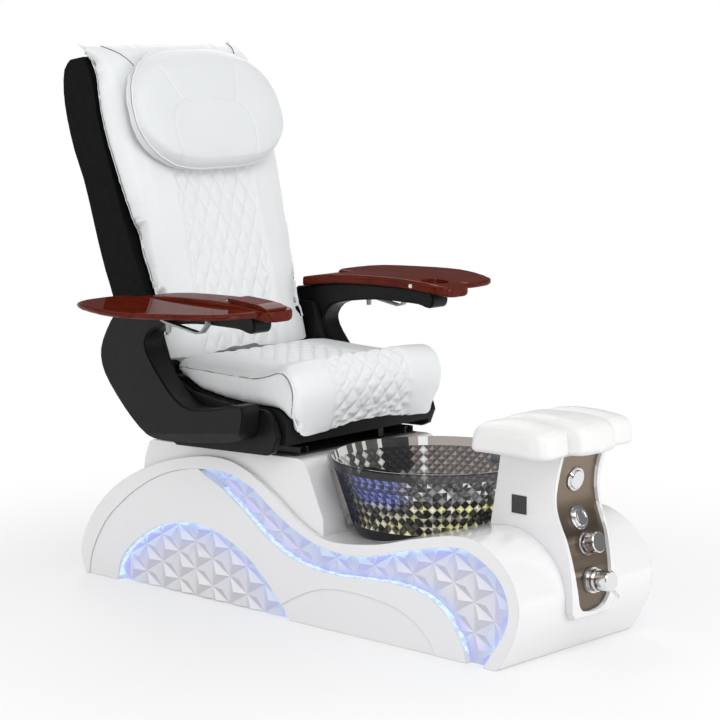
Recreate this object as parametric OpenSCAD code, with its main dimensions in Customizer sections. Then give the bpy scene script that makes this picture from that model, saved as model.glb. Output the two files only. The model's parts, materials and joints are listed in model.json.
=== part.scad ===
// Pedicure spa chair: an S-shaped glowing base with a faceted glass foot bowl,
// a footrest column with its taps, and a sliding, reclining seat with folding trays.
// +X is the way the sitter faces, +Y the sitter's left, +Z up; the origin is on
// the floor under the middle of the base.

/* [Base] */
// Width of the base across its two side rims
base_w = 496; // [440:2:560]
// Wall of the moulded base shell
shell_t = 6; // [4:0.5:9]
// How deep the side rims reach in from the faces
rim_depth = 22; // [16:1:30]
// Width of the raised plinth that carries the seat
plinth_w = 470; // [420:2:480]
// Thickness of the fender faces and of their turned-in edges
fender_t = 5; // [3:0.5:8]
// Distance between the star points of the diamond relief
relief_pitch = 70; // [50:1:90]
// Height of the diamond relief
relief_h = 9; // [5:0.5:12]

/* [Bowl] */
// Outer radius of the bowl at its rim
bowl_r = 250; // [225:1:260]
// Height of the bowl
bowl_h = 189; // [165:1:195]
// Thickness of the glass
glass_t = 8; // [6:0.5:10]
// Depth of the cut facets
facet_depth = 3; // [1.5:0.5:4]
// Facets round the bowl
facets = 36; // [24:2:48]

/* [Footrest column] */
// Width of the column
column_w = 166; // [156:2:186]
// Wall of the column
column_t = 6; // [4:0.5:8]
// Width of the footrest pad
pad_w = 356; // [310:2:370]
// Radius of the two push buttons
button_r = 21.9; // [18:0.1:24]
// Travel of the push buttons
button_travel = 3.5; // [2:0.5:5]
// Side of the square plate on the column
plate_side = 42; // [30:1:50]

/* [Seat] */
// Width of the seat cushion
seat_w = 528; // [500:2:532]
// Slope of the seat rails, nose up, in degrees
rail_slope = 2; // [1:0.5:3]
// Thickness of each arm cover
arm_t = 60; // [48:1:66]
// Width of the back cushion
back_w = 524; // [500:2:532]
// Width of the head pillow
pillow_w = 500; // [440:2:512]

/* [Armrests] */
// Thickness of the wooden arm boards
board_t = 25; // [20:0.5:30]
// Width of the arm boards
board_w = 106; // [100:1:124]
// Radius of the cup hole in the left arm board
cup_r = 34.5; // [30:0.5:38]
// Thickness of the folding trays
tray_t = 14; // [10:0.5:16]
// How far the folding trays reach out from the boards
tray_reach = 226; // [196:2:240]

/* [Hidden] */
$fn = 64;

gap = 0.3;          // clearance between neighbours that only rest on each other
run = 0.1;          // radial clearance of everything that turns or slides in a bore
half_w = base_w / 2;

// ---- curves -------------------------------------------------------------

// Point at t between b and c on a Catmull-Rom curve through a, b, c and d.
function blend(a, b, c, d, t) =
  ((2 * b) + (c - a) * t + (2 * a - 5 * b + 4 * c - d) * t * t
    + (3 * b - a - 3 * c + d) * t * t * t) / 2;

// Open curve through the points p with n steps between neighbours.
function curve(p, n = 4) = let (last = len(p) - 1) concat(
  [for (i = [0:last - 1], k = [0:n - 1])
    blend(p[max(i - 1, 0)], p[i], p[i + 1], p[min(i + 2, last)], k / n)], [p[last]]);

function unit(v) = v / max(norm(v), 1e-9);

// Outline p moved inwards by d; p runs anticlockwise.
function inset(p, d) = let (m = len(p))
  [for (i = [0:m - 1]) let (
      before = unit(p[i] - p[(i + m - 1) % m]),
      after = unit(p[(i + 1) % m] - p[i]),
      along = unit(before + after),
      stretch = 1 / max(before * along, 0.5))
    p[i] + d * stretch * [-along[1], along[0]]];

function reversed(p) = [for (i = [len(p) - 1:-1:0]) p[i]];

// Outline p moved inwards by its own distance d[i] at each point.
function inset_by(p, d) = let (m = len(p))
  [for (i = [0:m - 1]) let (along = unit(p[(i + 1) % m] - p[(i + m - 1) % m]))
    p[i] + d[i] * [-along[1], along[0]]];

// Strip of thickness t along the line p.
function ribbon(p, t) = let (
    last = len(p) - 1,
    n = [for (i = [0:last]) let (a = unit(p[min(i + 1, last)] - p[max(i - 1, 0)])) [-a[1], a[0]]])
  concat([for (i = [0:last]) p[i] - n[i] * t / 2], [for (i = [last:-1:0]) p[i] + n[i] * t / 2]);

// Triangles between the chain 0 .. split - 1 and the chain n - 1 down to split.
function zipper(n, split, i = 0, k = 0) = let (a = split - 1, b = n - split - 1)
  i == a && k == b ? []
  : i < a && (k == b || (i + 1) / a <= (k + 1) / b)
    ? concat([[i, i + 1, n - 1 - k]], zipper(n, split, i + 1, k))
    : concat([[i, n - 2 - k, n - 1 - k]], zipper(n, split, i, k + 1));

// Closed polyhedron through rings of points, each ring as long as the others.
// With quilt set, the diagonals cross in diamonds. A bent outline is closed at
// its ends between its first split points and the rest.
module loft(rings, quilt = false, split = 0) {
  n = len(rings[0]);
  m = len(rings);
  cap = split == 0 ? [[for (j = [0:n - 1]) j]] : zipper(n, split);
  polyhedron(
    points = [for (r = rings) each r],
    faces = concat(
      cap,
      [for (i = [0:m - 2], j = [0:n - 1]) each
        let (k = (j + 1) % n, a = i * n + j, b = i * n + k, c = a + n, d = b + n)
        quilt && (i + j) % 2 == 1 ? [[a, c, b], [b, c, d]] : [[a, d, b], [a, c, d]]],
      [for (f = cap) [for (j = reversed(f)) (m - 1) * n + j]]));
}

// Plate of outline p from z = 0 to t whose two faces step in by b at the edge.
module stepped_plate(p, t, b) {
  translate([0, 0, b]) linear_extrude(t - 2 * b) polygon(p);
  linear_extrude(t) polygon(inset(p, b));
}

// Stands an X-Z outline upright so that it runs from y = y0 to y1.
module across(y0, y1) {
  translate([0, y1, 0]) rotate([90, 0, 0]) linear_extrude(y1 - y0) children();
}

// The right-hand copy is drawn at -Y, the left-hand one is its mirror image.
module side(s) {
  if (s > 0) mirror([0, 1, 0]) children();
  else children();
}

// ---- outlines of the base, as X-Z points ---------------------------------

rim_outer = reversed(concat(curve([[-690, 0], [-706, 60], [-680, 130], [-628, 196], [-548, 261],
  [-440, 315], [-319, 352], [-200, 369], [-104, 354], [0, 301], [68, 256], [135, 226],
  [210, 217], [330, 232], [420, 256], [500, 276], [568, 289], [627, 287], [675, 266],
  [710, 240], [739, 203], [754, 160], [752, 120], [737, 72], [700, 8]]), [[690, 0]]));
rim_inner = reversed(concat(curve([[-677, 0], [-664, 61], [-614, 145], [-549, 207], [-471, 261],
  [-395, 299], [-320, 322], [-265, 331], [-200, 336], [-140, 332], [-69, 306], [0, 262],
  [68, 227], [135, 203], [202, 193], [266, 194], [330, 206], [409, 228], [489, 247],
  [556, 261], [604, 259], [651, 241], [687, 217], [710, 189], [723, 154], [722, 117],
  [705, 76], [677, 38]], 3), [[652, 0]]));
fender_edge = reversed(concat(curve([[-720, 0], [-700, 120], [-600, 240], [-450, 320],
  [-320, 340], [-268, 331], [-236, 316], [-182, 293], [-105, 246], [-35, 196], [34, 161],
  [101, 144], [168, 138], [233, 138], [299, 143], [377, 147], [440, 144], [489, 132],
  [533, 107], [569, 71], [593, 33]], 3), [[601, 0]]));
arch_edge = reversed(curve([[-570, 0], [-557, 51], [-521, 95], [-459, 140], [-397, 170],
  [-323, 188], [-249, 189], [-177, 173], [-106, 140], [-57, 107], [-2, 55], [46, 0]], 3));
step_edge = reversed(curve([[-40, 0], [60, 58], [140, 92], [217, 104], [301, 103], [377, 94],
  [434, 75], [472, 50], [496, 24], [508, 0]], 3));
rail_origin_z = 396;           // top of the plinth at x = 0
function plinth_z(x) = rail_origin_z + x * tan(rail_slope);
plinth_side = [[-482, 250], [-470, 330], [-452, plinth_z(-452) - 5], [-440, plinth_z(-440)],
  [66, plinth_z(66)], [84, 394], [100, 372], [150, 262], [150, 200], [-482, 200]];

// ---- bowl ----------------------------------------------------------------

bowl_x = 295;
bowl_z = 215;                  // underside of the glass
bowl_top = bowl_z + bowl_h;
wall_lean = 0.32;              // how much the wall leans out for each mm of height
function wall_r(z) = bowl_r - wall_lean * (bowl_top - z);
bowl_side = curve([[wall_r(bowl_z) - 19, bowl_z], [wall_r(bowl_z) - 8, bowl_z + 4],
  [wall_r(bowl_z + 14), bowl_z + 14], [wall_r(bowl_z + 35), bowl_z + 35]], 1);

// The space of the bowl, grown outwards by d and down to depth under its foot.
module bowl_space(d, under) {
  translate([bowl_x, 0, 0]) rotate_extrude($fn = 96) polygon(concat(
    [[0, bowl_z - under], [bowl_side[0][0], bowl_z - under]],
    [for (i = [1:len(bowl_side) - 1]) [bowl_side[i][0] + d, bowl_side[i][1] - d * 0.6]],
    [[wall_r(bowl_top) + d, bowl_top], [wall_r(bowl_top) + d, bowl_top + 80], [0, bowl_top + 80]]));
}

drain_hole_r = 22;
facet_rows = 8;
facet_band = 132;              // height of the faceted wall under the plain rim
facet_z0 = bowl_z + 35;

// Outer wall points: a plain foot, rows of raised diamonds and a plain rim.
module bowl() {
  rows = 2 * facet_rows;
  outer = concat(
    [for (q = bowl_side) [q[0], q[1], 0]],
    [for (k = [1:rows - 1]) let (z = facet_z0 + k * facet_band / rows)
      [wall_r(z), z, 1]],
    [for (z = [facet_z0 + facet_band, bowl_top - 2]) [wall_r(z), z, 0]],
    [[bowl_r - 2, bowl_top, 0], [bowl_r - glass_t + 2, bowl_top, 0]],
    [[wall_r(bowl_top) - glass_t, bowl_top - 3, 0]],
    [for (z = [bowl_z + 60, bowl_z + 30]) [wall_r(z) - glass_t, z, 0]],
    [[wall_r(bowl_z + 14) - glass_t - 6, bowl_z + glass_t + 6, 0],
     [wall_r(bowl_z) - 24, bowl_z + glass_t, 0],
     [drain_hole_r, bowl_z + glass_t, 0], [drain_hole_r, bowl_z, 0]]);
  first = len(bowl_side);
  n = 2 * facets;
  m = len(outer);
  // A diamond's middle stands out; its corners lie in the cut grooves.
  function radius(i, j) = outer[i][0] - (outer[i][2] == 0 ? 0
    : ((i - first) % 2 == 0) != (j % 2 == 0) ? facet_depth : 0);
  color([0.25, 0.26, 0.28, 0.55]) translate([bowl_x, 0, 0]) polyhedron(
    points = [for (i = [0:m - 1], j = [0:n - 1]) let (a = j * 360 / n, r = radius(i, j))
      [r * cos(a), r * sin(a), outer[i][1]]],
    faces = [for (i = [0:m - 1], j = [0:n - 1]) each let (
        k = (j + 1) % n, up = (i + 1) % m, odd = (i + j) % 2 == 0)
      odd ? [[i * n + j, up * n + k, i * n + k], [i * n + j, up * n + j, up * n + k]]
          : [[i * n + j, up * n + j, i * n + k], [i * n + k, up * n + j, up * n + k]]]);
}

gasket_t = 3;
module bowl_gasket() {
  color("dimgray") translate([bowl_x, 0, bowl_z - gasket_t]) difference() {
    cylinder(r = 120, h = gasket_t);
    translate([0, 0, -1]) cylinder(r = 96, h = gasket_t + 2);
  }
}

drain_r = 19;
drain_end = 12;                // free end of the waste pipe above the floor
drain_joint = 165;             // where the waste pipe meets the drain body
spider_z = bowl_z - 24;        // web with water holes that guides the plug
module drain_body() {
  color("silver") translate([bowl_x, 0, 0]) difference() {
    union() {
      translate([0, 0, bowl_z + glass_t]) cylinder(r1 = 34, r2 = 31, h = 3);
      translate([0, 0, drain_joint]) cylinder(r = drain_r, h = bowl_z + glass_t + 1 - drain_joint);
      translate([0, 0, bowl_z - 32]) cylinder(r = 30, h = 8);
    }
    translate([0, 0, drain_joint - 1]) cylinder(r = drain_r - 3, h = spider_z - drain_joint + 1);
    translate([0, 0, spider_z + 5]) cylinder(r = drain_r - 3, h = 60);
    for (a = [0:60:300]) rotate(a) translate([10, 0, spider_z - 1]) cylinder(r = 3.4, h = 8);
    translate([0, 0, spider_z - 1]) cylinder(r = plug_stem_r + run, h = 8);
  }
}

plug_stem_r = 4;
plug_lift = 12;
module drain_plug() {
  color("silver") translate([bowl_x, 0, 0]) union() {
    translate([0, 0, bowl_z + glass_t + 3 + gap]) cylinder(r1 = 25, r2 = 22, h = 4);
    translate([0, 0, spider_z - 4]) cylinder(r = plug_stem_r, h = bowl_z + glass_t + 4 - spider_z + 4);
  }
}

module drain_pipe() {
  color("whitesmoke") translate([bowl_x, 0, 0]) difference() {
    union() {
      translate([0, 0, drain_end]) cylinder(r = 20, h = drain_joint - drain_end - 12);
      translate([0, 0, drain_joint - 24]) cylinder(r = 26, h = 36);
    }
    translate([0, 0, drain_end - 1]) cylinder(r = 17, h = 200);
    translate([0, 0, drain_joint - 2]) cylinder(r = drain_r + run, h = 60);
  }
}

// ---- base shell and what sits in its sides --------------------------------

// The seat rails' own frame: z = 0 is the top of the plinth.
module on_rails() {
  translate([0, 0, rail_origin_z]) rotate([0, -rail_slope, 0]) children();
}

module base_body() {
  difference() {
    across(-half_w, half_w) polygon(rim_outer);
    bowl_space(1.5, gasket_t);
  }
  difference() {
    across(-plinth_w / 2, plinth_w / 2) polygon(plinth_side);
    bowl_space(14, 14);
  }
}

module base_shell() {
  inner_w = half_w - rim_depth;
  color("white") difference() {
    base_body();
    difference() {
      union() {
        across(-inner_w, inner_w) polygon(
          [for (q = inset(rim_outer, shell_t)) [q[0], q[1] < shell_t + 3 ? -1 : q[1]]]);
        across(shell_t - plinth_w / 2, plinth_w / 2 - shell_t) polygon(
          inset(reversed(plinth_side), shell_t));
      }
      bowl_space(14 + shell_t, 14 + shell_t);
    }
    across(-half_w - 1, half_w + 1) polygon(
      [for (q = rim_inner) [q[0], q[1] < 1 ? -1 : q[1]]]);
    translate([bowl_x, 0, bowl_z - 60]) cylinder(r = 27, h = 80);
    translate([650, 0, 200]) cylinder(r = 32, h = 120);
    for (z = [diverter_z, mixer_z]) on_panel(z) translate([0, 0, -60]) cylinder(r = pipe_r + 1, h = 80);
  }
}

frame_tube = 30;
frame_y = 150;
foot_h = 10;
post_x = [-400, -180, 20];
module base_frame() {
  under = rail_origin_z - shell_t - 0.6;
  color("gray") {
    for (s = [-1, 1]) translate([-600, s * frame_y - frame_tube / 2, foot_h])
      cube([1240, frame_tube, frame_tube]);
    for (x = [-600, -15, 430, 610])
      translate([x, frame_tube / 2 - frame_y, foot_h])
        cube([frame_tube, 2 * frame_y - frame_tube, frame_tube]);
    for (x = post_x, s = [-1, 1])
      translate([x - frame_tube / 2, s * frame_y - frame_tube / 2, foot_h + frame_tube])
        cube([frame_tube, frame_tube, under - foot_h - frame_tube + (x - 15) * tan(rail_slope)]);
  }
}

module levelling_feet() {
  color("black") for (q = [[-585, -1], [-585, 1], [0, -1], [0, 0], [0, 1], [600, -1], [600, 1]])
    translate([q[0], q[1] * frame_y, 0]) cylinder(r1 = 24, r2 = 18, h = foot_h);
}

// The fender covers the side below the glowing band and has a half-round window.
module fender_face(d) {
  difference() {
    intersection() {
      polygon(inset(fender_edge, d));
      polygon(inset(rim_inner, d + gap));
    }
    polygon(inset(arch_edge, -d));
  }
}

face_y = half_w - 3;           // the fender's face, a little behind the rims
back_y = half_w - rim_depth;   // plane on which the glowing reliefs lie
relief_t = 4;
module side_panel(s) {
  color("whitesmoke") side(s) difference() {
    across(-face_y, -back_y - gap) fender_face(0);
    across(-face_y + fender_t, -back_y + 1) fender_face(fender_t);
    // Stepped-in field behind the front foot of the fender.
    across(-face_y - 1, -face_y + 2.5) polygon(step_edge);
  }
}

// Sheet of three-sided pyramids on a net of equal triangles, points along +z.
module diamonds(x0, x1, z0, z1) {
  dx = relief_pitch * sqrt(3) / 2;
  ni = ceil((x1 - x0) / dx);
  nk = ceil((z1 - z0) / relief_pitch) + 1;
  function at(i, k) = [x0 + i * dx, z0 + (k - 0.5 + (i % 2) / 2) * relief_pitch];
  function id(i, k) = i * (nk + 1) + k;
  size = (ni + 1) * (nk + 1);
  tris = [for (i = [0:ni - 1], k = [0:nk - 1]) each i % 2 == 0
    ? [[[i, k], [i + 1, k], [i, k + 1]], [[i + 1, k], [i + 1, k + 1], [i, k + 1]]]
    : [[[i, k], [i + 1, k], [i + 1, k + 1]], [[i, k], [i + 1, k + 1], [i, k + 1]]]];
  border = concat([for (i = [0:ni]) id(i, 0)], [for (k = [1:nk]) id(ni, k)],
    [for (i = [ni - 1:-1:0]) id(i, nk)], [for (k = [nk - 1:-1:1]) id(0, k)]);
  polyhedron(
    points = concat(
      [for (z = [0.5, -relief_t / 2], i = [0:ni], k = [0:nk]) [at(i, k)[0], at(i, k)[1], z]],
      [for (t = tris) let (m = (at(t[0][0], t[0][1]) + at(t[1][0], t[1][1]) + at(t[2][0], t[2][1])) / 3)
        [m[0], m[1], relief_h]]),
    faces = concat(
      [for (n = [0:len(tris) - 1], e = [0:2]) let (a = tris[n][e], b = tris[n][(e + 1) % 3])
        [id(b[0], b[1]), id(a[0], a[1]), 2 * size + n]],
      [for (t = tris) [for (q = t) size + id(q[0], q[1])]],
      [for (n = [0:len(border) - 1]) let (a = border[n], b = border[(n + 1) % len(border)])
        [a, b, b + size, a + size]]));
}

module relief(s, x0, x1, z0, z1) {
  color("lavender") side(s) {
    across(-back_y, -back_y + relief_t) children(0);
    intersection() {
      translate([0, -back_y, 0]) rotate([90, 0, 0]) diamonds(x0, x1, z0, z1);
      across(-back_y - relief_h - 1, -back_y + 1) children(1);
    }
  }
}

module glow_band(s) {
  relief(s, -300, 760, 0, 360) {
    intersection() {
      difference() {
        polygon(inset(rim_inner, -8));
        polygon([for (q = inset(fender_edge, 10)) [q[0], q[1] < 12 ? -20 : q[1]]]);
      }
      translate([-330, 0]) square([1100, 400]);
    }
    difference() {
      polygon(inset(rim_inner, 3));
      polygon(inset(fender_edge, -3));
      translate([-800, -1]) square([600, 500]);
    }
  }
}

module glow_arch(s) {
  relief(s, -600, 60, 0, 200) {
    intersection() {
      polygon(inset(arch_edge, -8));
      translate([-800, 0]) square([1000, 400]);
    }
    intersection() {
      polygon(inset(arch_edge, 4));
      translate([-800, 0]) square([1000, 400]);
    }
  }
}

led_t = 1.6;
module led_strips() {
  color("aqua") for (s = [-1, 1]) side(s) {
    across(-half_w + 6, -back_y - gap) difference() {
      polygon(inset(rim_inner, gap));
      polygon(inset(rim_inner, gap + led_t));
      translate([-800, -10]) square([560, 500]);
      translate([-800, -10]) square([1600, 40]);
    }
    across(-half_w + 8, -back_y - gap) difference() {
      intersection() {
        polygon(inset(fender_edge, -gap - led_t));
        polygon(inset(rim_inner, 8));
      }
      polygon(inset(fender_edge, -gap));
      translate([-800, -10]) square([620, 500]);
      translate([500, -10]) square([300, 30]);
    }
    across(-half_w + 8, -back_y - gap) difference() {
      polygon(inset(arch_edge, gap));
      polygon(inset(arch_edge, gap + led_t));
      translate([-800, -20]) square([1000, 30]);
    }
  }
}

// ---- footrest column and its controls -------------------------------------

panel_line = curve([[759, 96], [763, 120], [766, 150], [760, 204], [745, 268], [731, 302],
  [717, 338], [712, 370], [714, 402], [721, 438], [730, 466]], 3);
function panel_x(z) = lookup(z, [for (q = panel_line) [q[1], q[0]]]);
// Upward tilt of the panel's normal at height z.
function panel_tilt(z) = atan((panel_x(z - 6) - panel_x(z + 6)) / 12);
column_proud = 9;              // how far the column's edges stand out round the panel
column_foot = 88;
pad_z = 468;                   // underside of the footrest pad

column_front = concat([[712, column_foot - 14], [744, column_foot - 6]],
  [for (q = panel_line) [q[0] + column_proud, q[1]]], [[740, pad_z]]);
column_back = [[566, pad_z], [559, 420], [551, 370], [543, 325], [535, 282], [528, 235], [620, 180]];

function column_rear(z) = lookup(z, [for (q = column_back) [q[1], q[0]]]);

module column_outline(d) {
  polygon(inset(concat(column_front, column_back), d));
}

// Places children on the panel at height z, with their +z along its normal.
module on_panel(z) {
  translate([panel_x(z), 0, z]) rotate([0, 90 - panel_tilt(z), 0]) children();
}

upper_button_z = 403;
lower_button_z = 315;
diverter_z = 257;
mixer_z = 176;
sleeve_r = 25;
pipe_r = 14;
control_z = [upper_button_z, lower_button_z, diverter_z, mixer_z];
control_r = [sleeve_r, sleeve_r, pipe_r, pipe_r];

// Outline of the control panel seen from the front: Y against Z.
panel_half = curve([[0, 104], [34, 110], [54, 130], [62, 165], [66, 200], [71, 250], [76, 310],
  [76, 355], [72, 402], [71, 440], [73, 467]], 3);
module panel_face(d) {
  translate([600, 0, 0]) rotate([90, 0, 90]) linear_extrude(300) polygon(
    inset(concat(panel_half, [for (q = reversed(panel_half)) if (q[0] > 0) [-q[0], q[1]]]), d));
}

panel_t = 2;
module panel_sheet(depth, thick) {
  across(-column_w, column_w) polygon(concat(
    [for (q = panel_line) [q[0] + depth, q[1]]],
    [for (q = reversed(panel_line)) [q[0] + depth - thick, q[1]]]));
}

// Outline of the column seen from the front, with its rounded foot.
module column_face(d) {
  half = [[40, 87], [62, 95], [column_w / 2 - 6, 113], [column_w / 2 - 1, 138], [column_w / 2, 160],
    [column_w / 2, pad_z + 1]];
  translate([400, 0, 0]) rotate([90, 0, 90]) linear_extrude(500) polygon(
    inset(concat(half, [for (q = reversed(half)) [-q[0], q[1]]]), d));
}

module footrest_column() {
  color("white") difference() {
    intersection() {
      across(-column_w / 2 - 1, column_w / 2 + 1) column_outline(0);
      column_face(0);
    }
    difference() {
      intersection() {
        across(-column_w, column_w) column_outline(column_t);
        column_face(column_t);
      }
      // Thicker wall behind the panel's recess.
      across(-column_w, column_w) polygon(concat(
        [for (q = panel_line) [q[0] + 20, q[1]]],
        [for (q = reversed(panel_line)) [q[0] - panel_t - column_t, q[1]]]));
    }
    base_body();
    across(-column_w, column_w) polygon(inset(rim_outer, 1));
    intersection() {
      panel_face(-0.5);
      across(-column_w, column_w) polygon(concat(
        [for (q = panel_line) [q[0] + 20, q[1]]],
        [for (q = reversed(panel_line)) [q[0] - panel_t, q[1]]]));
    }
    for (i = [0:3]) on_panel(control_z[i])
      translate([0, 0, -60]) cylinder(r = control_r[i] + 1, h = 80);
  }
}

module control_panel() {
  color("rosybrown") difference() {
    intersection() {
      panel_face(0);
      panel_sheet(0, panel_t);
    }
    for (i = [0:3]) on_panel(control_z[i])
      translate([0, 0, -30]) cylinder(r = control_r[i] + gap, h = 60);
  }
}

sleeve_depth = 24;
module button_sleeves() {
  color("silver") for (z = [upper_button_z, lower_button_z]) on_panel(z) difference() {
    union() {
      translate([0, 0, -sleeve_depth]) cylinder(r = sleeve_r, h = sleeve_depth + 3);
      translate([0, 0, 2]) cylinder(r1 = 29, r2 = 26.5, h = 3.4);
    }
    translate([0, 0, 3 - sleeve_depth]) cylinder(r = button_r + run, h = sleeve_depth + 10);
  }
}

module push_button(z) {
  color("gainsboro") on_panel(z) difference() {
    union() {
      translate([0, 0, -10]) cylinder(r = button_r, h = 18);
      translate([0, 0, 8]) cylinder(r1 = button_r, r2 = button_r - 1.5, h = 1.5);
    }
    translate([0, 0, 79]) sphere(r = 71.5, $fn = 96);
  }
}

module control_stem(z, flange_r, flange_h, stem_r, stem_h) {
  on_panel(z) {
    translate([0, 0, 1.2]) cylinder(r1 = flange_r, r2 = flange_r - 1.5, h = flange_h);
    translate([0, 0, -40]) cylinder(r = pipe_r, h = 42);
    cylinder(r = stem_r, h = stem_h);
  }
}

spindle_r = 5;
module diverter_body() {
  color("silver") union() {
    control_stem(diverter_z, 27, 4, 12, 9);
    on_panel(diverter_z) cylinder(r = spindle_r, h = 26);
  }
}

module diverter_knob() {
  color("gainsboro") on_panel(diverter_z) difference() {
    union() {
      translate([0, 0, 9.6]) cylinder(r = 20, h = 12);
      translate([0, 0, 15]) cylinder(r = 24, h = 22);
      translate([0, 0, 37]) cylinder(r1 = 24, r2 = 22, h = 2);
    }
    translate([0, 0, 9]) cylinder(r = spindle_r + run, h = 19);
    for (a = [0:30:330]) rotate(a) translate([25.6, 0, 14]) cylinder(r = 2.6, h = 10);
  }
}

module mixer_body() {
  color("silver") union() {
    control_stem(mixer_z, 31, 7, 22, 24);
    on_panel(mixer_z) {
      translate([0, 0, 12]) cylinder(r = 26, h = 8);
      cylinder(r = spindle_r, h = 44);
    }
  }
}

lever_turn = 25;               // the lever points down, a little to the sitter's left
module mixer_handle() {
  color("gainsboro") on_panel(mixer_z) difference() {
    union() {
      translate([0, 0, 24.6]) cylinder(r = 23.5, h = 32);
      translate([0, 0, 56.6]) cylinder(r1 = 23.5, r2 = 21, h = 2.4);
      rotate(lever_turn) translate([14, 0, 45]) rotate([0, 62, 0]) cylinder(r = 3.2, h = 34);
    }
    translate([0, 0, 24]) cylinder(r = spindle_r + run, h = 22);
  }
}

module column_plate() {
  color("black") translate([620 - plate_side / 2, -column_w / 2 - 2, 343 - plate_side / 2])
    cube([plate_side, 2, plate_side]);
}

// Fall spout on the column's bowl side, with a broad slot along its lip.
module water_spout() {
  color("dimgray") difference() {
    across(-48, 48) polygon([[506, 421], [512, 419], [column_rear(424) - gap, 424],
      [column_rear(458) - gap, 458], [520, 456], [507, 449]]);
    across(-41, 41) polygon([[500, 424], [548, 430], [548, 444], [500, 436]]);
  }
}

// ---- footrest pad ---------------------------------------------------------

// Sections of the pad from its middle to its end: share of the half-width,
// front and rear x, height of the edge and crown above it.
pad_rows = [[0, 792, 538, 67, 13], [0.22, 790, 538, 67, 12], [0.36, 780, 539, 64, 9],
  [0.415, 764, 540, 57, 3], [0.435, 755, 540, 56, 2], [0.49, 760, 540, 62, 8], [0.62, 763, 540, 65, 11],
  [0.78, 763, 541, 64, 9], [0.88, 759, 544, 62, 6], [0.955, 748, 549, 57, 3], [1, 727, 560, 47, 2]];
function pad_section(x0, x1, h, c) = let (m = (x0 + x1) / 2) [[x0 + 3, 0], [x1 - 3, 0], [x1, 9],
  [x1 - 4, h - 18], [x1 - 9, h - 8], [x1 - 20, h], [x1 - 48, h + c * 0.6], [m + 30, h + c * 0.95],
  [m - 30, h + c * 0.95], [x0 + 48, h + c * 0.6], [x0 + 20, h], [x0 + 8, h - 8], [x0 + 4, h - 18], [x0, 9]];
module footrest_pad() {
  last = len(pad_rows) - 1;
  color("white") loft([for (k = [-last:last]) let (r = pad_rows[abs(k)])
    [for (q = pad_section(r[2], r[1], r[3], r[4]))
      [q[0], -sign(k) * (r[0] * pad_w / 2 - 3 * r[0] * q[1] / 60), pad_z + gap + q[1]]]], split = 7);
}

// ---- jet in the bowl ------------------------------------------------------

jet_z = bowl_z + 84;
jet_r = 46;
jet_x = bowl_x - wall_r(jet_z) + glass_t + 46;   // front face of the jet
module jet_housing() {
  color("black") difference() {
    intersection() {
      translate([jet_x, 0, jet_z]) rotate([0, -90, 0]) union() {
        cylinder(r1 = jet_r - 3, r2 = jet_r, h = 4);
        translate([0, 0, 4]) cylinder(r = jet_r, h = 90);
      }
      // The back follows the bowl's wall.
      translate([bowl_x, 0, 0]) rotate_extrude($fn = 96) polygon([[0, bowl_z + 12],
        [wall_r(bowl_z + 12) - glass_t - 0.8, bowl_z + 12],
        [wall_r(bowl_top) - glass_t - 0.8, bowl_top], [0, bowl_top]]);
    }
    translate([jet_x - 4, 0, jet_z]) rotate([0, -90, 0]) difference() {
      cylinder(r = jet_r - 4, h = 20);
      translate([0, 0, -1]) cylinder(r = 4, h = 22);
    }
    for (a = [0:45:315]) translate([jet_x, 0, jet_z]) rotate([a, 0, 0])
      translate([1, 0, 26]) rotate([0, -90, 0]) cylinder(r = 7.5, h = 6);
  }
}

module jet_impeller() {
  color("dimgray") translate([jet_x - 5, 0, jet_z]) rotate([0, -90, 0]) difference() {
    union() {
      cylinder(r = 10, h = 17);
      translate([0, 0, 13]) cylinder(r = 39, h = 4);
      for (a = [0:60:300]) rotate(a) translate([6, -1.5, 0]) cube([32, 3, 14]);
    }
    translate([0, 0, -1]) cylinder(r = 4 + run, h = 20);
  }
}

// ---- seat rails and their drive -------------------------------------------

rail_y = 190;                  // middle of each rail
rail_t = 3;
rail_w = 24;                   // clear width inside the channel
rail_h = 13;                   // clear height inside the channel
rail_floor = gap + 4;          // top of the rails' plate
seat_floor = 32;               // underside of the seat frame
module rail_base() {
  color("gray") on_rails() {
    translate([-425, -215, gap]) cube([470, 430, rail_floor - gap]);
    for (s = [-1, 1]) translate([-425, s * rail_y, rail_floor]) difference() {
      translate([0, -rail_w / 2 - rail_t, -1]) cube([470, rail_w + 2 * rail_t, rail_h + rail_t + 1]);
      translate([-1, -rail_w / 2, 0]) cube([472, rail_w, rail_h]);
      translate([-1, -7, rail_h - 1]) cube([472, 14, rail_t + 2]);
    }
  }
}

module rail_runners() {
  color("silver") on_rails() for (s = [-1, 1]) translate([-340, s * rail_y, 0]) {
    translate([0, run - rail_w / 2, rail_floor + run]) cube([290, rail_w - 2 * run, rail_h - 2 * run]);
    translate([0, -6, rail_floor + 2]) cube([290, 12, seat_floor - gap - rail_floor - 2]);
  }
}

drive_y = 90;
drive_r = 12;
drive_rod_r = 6;
drive_z = rail_floor + gap + drive_r;
module slide_actuator() {
  color("dimgray") on_rails() translate([-335, drive_y, drive_z]) rotate([0, 90, 0]) difference() {
    union() {
      cylinder(r = drive_r, h = 255);
      translate([-drive_r, -17, 20]) cube([2 * drive_r, 34, 60]);
    }
    translate([0, 0, 10]) cylinder(r = drive_rod_r + run, h = 250);
  }
}

module slide_rod() {
  color("silver") on_rails() {
    translate([-255, drive_y, drive_z]) rotate([0, 90, 0]) cylinder(r = drive_rod_r, h = 285);
    translate([20, drive_y - 9, drive_z - 9]) cube([20, 18, seat_floor - gap - drive_z + 9]);
  }
}

// ---- seat -----------------------------------------------------------------

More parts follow.
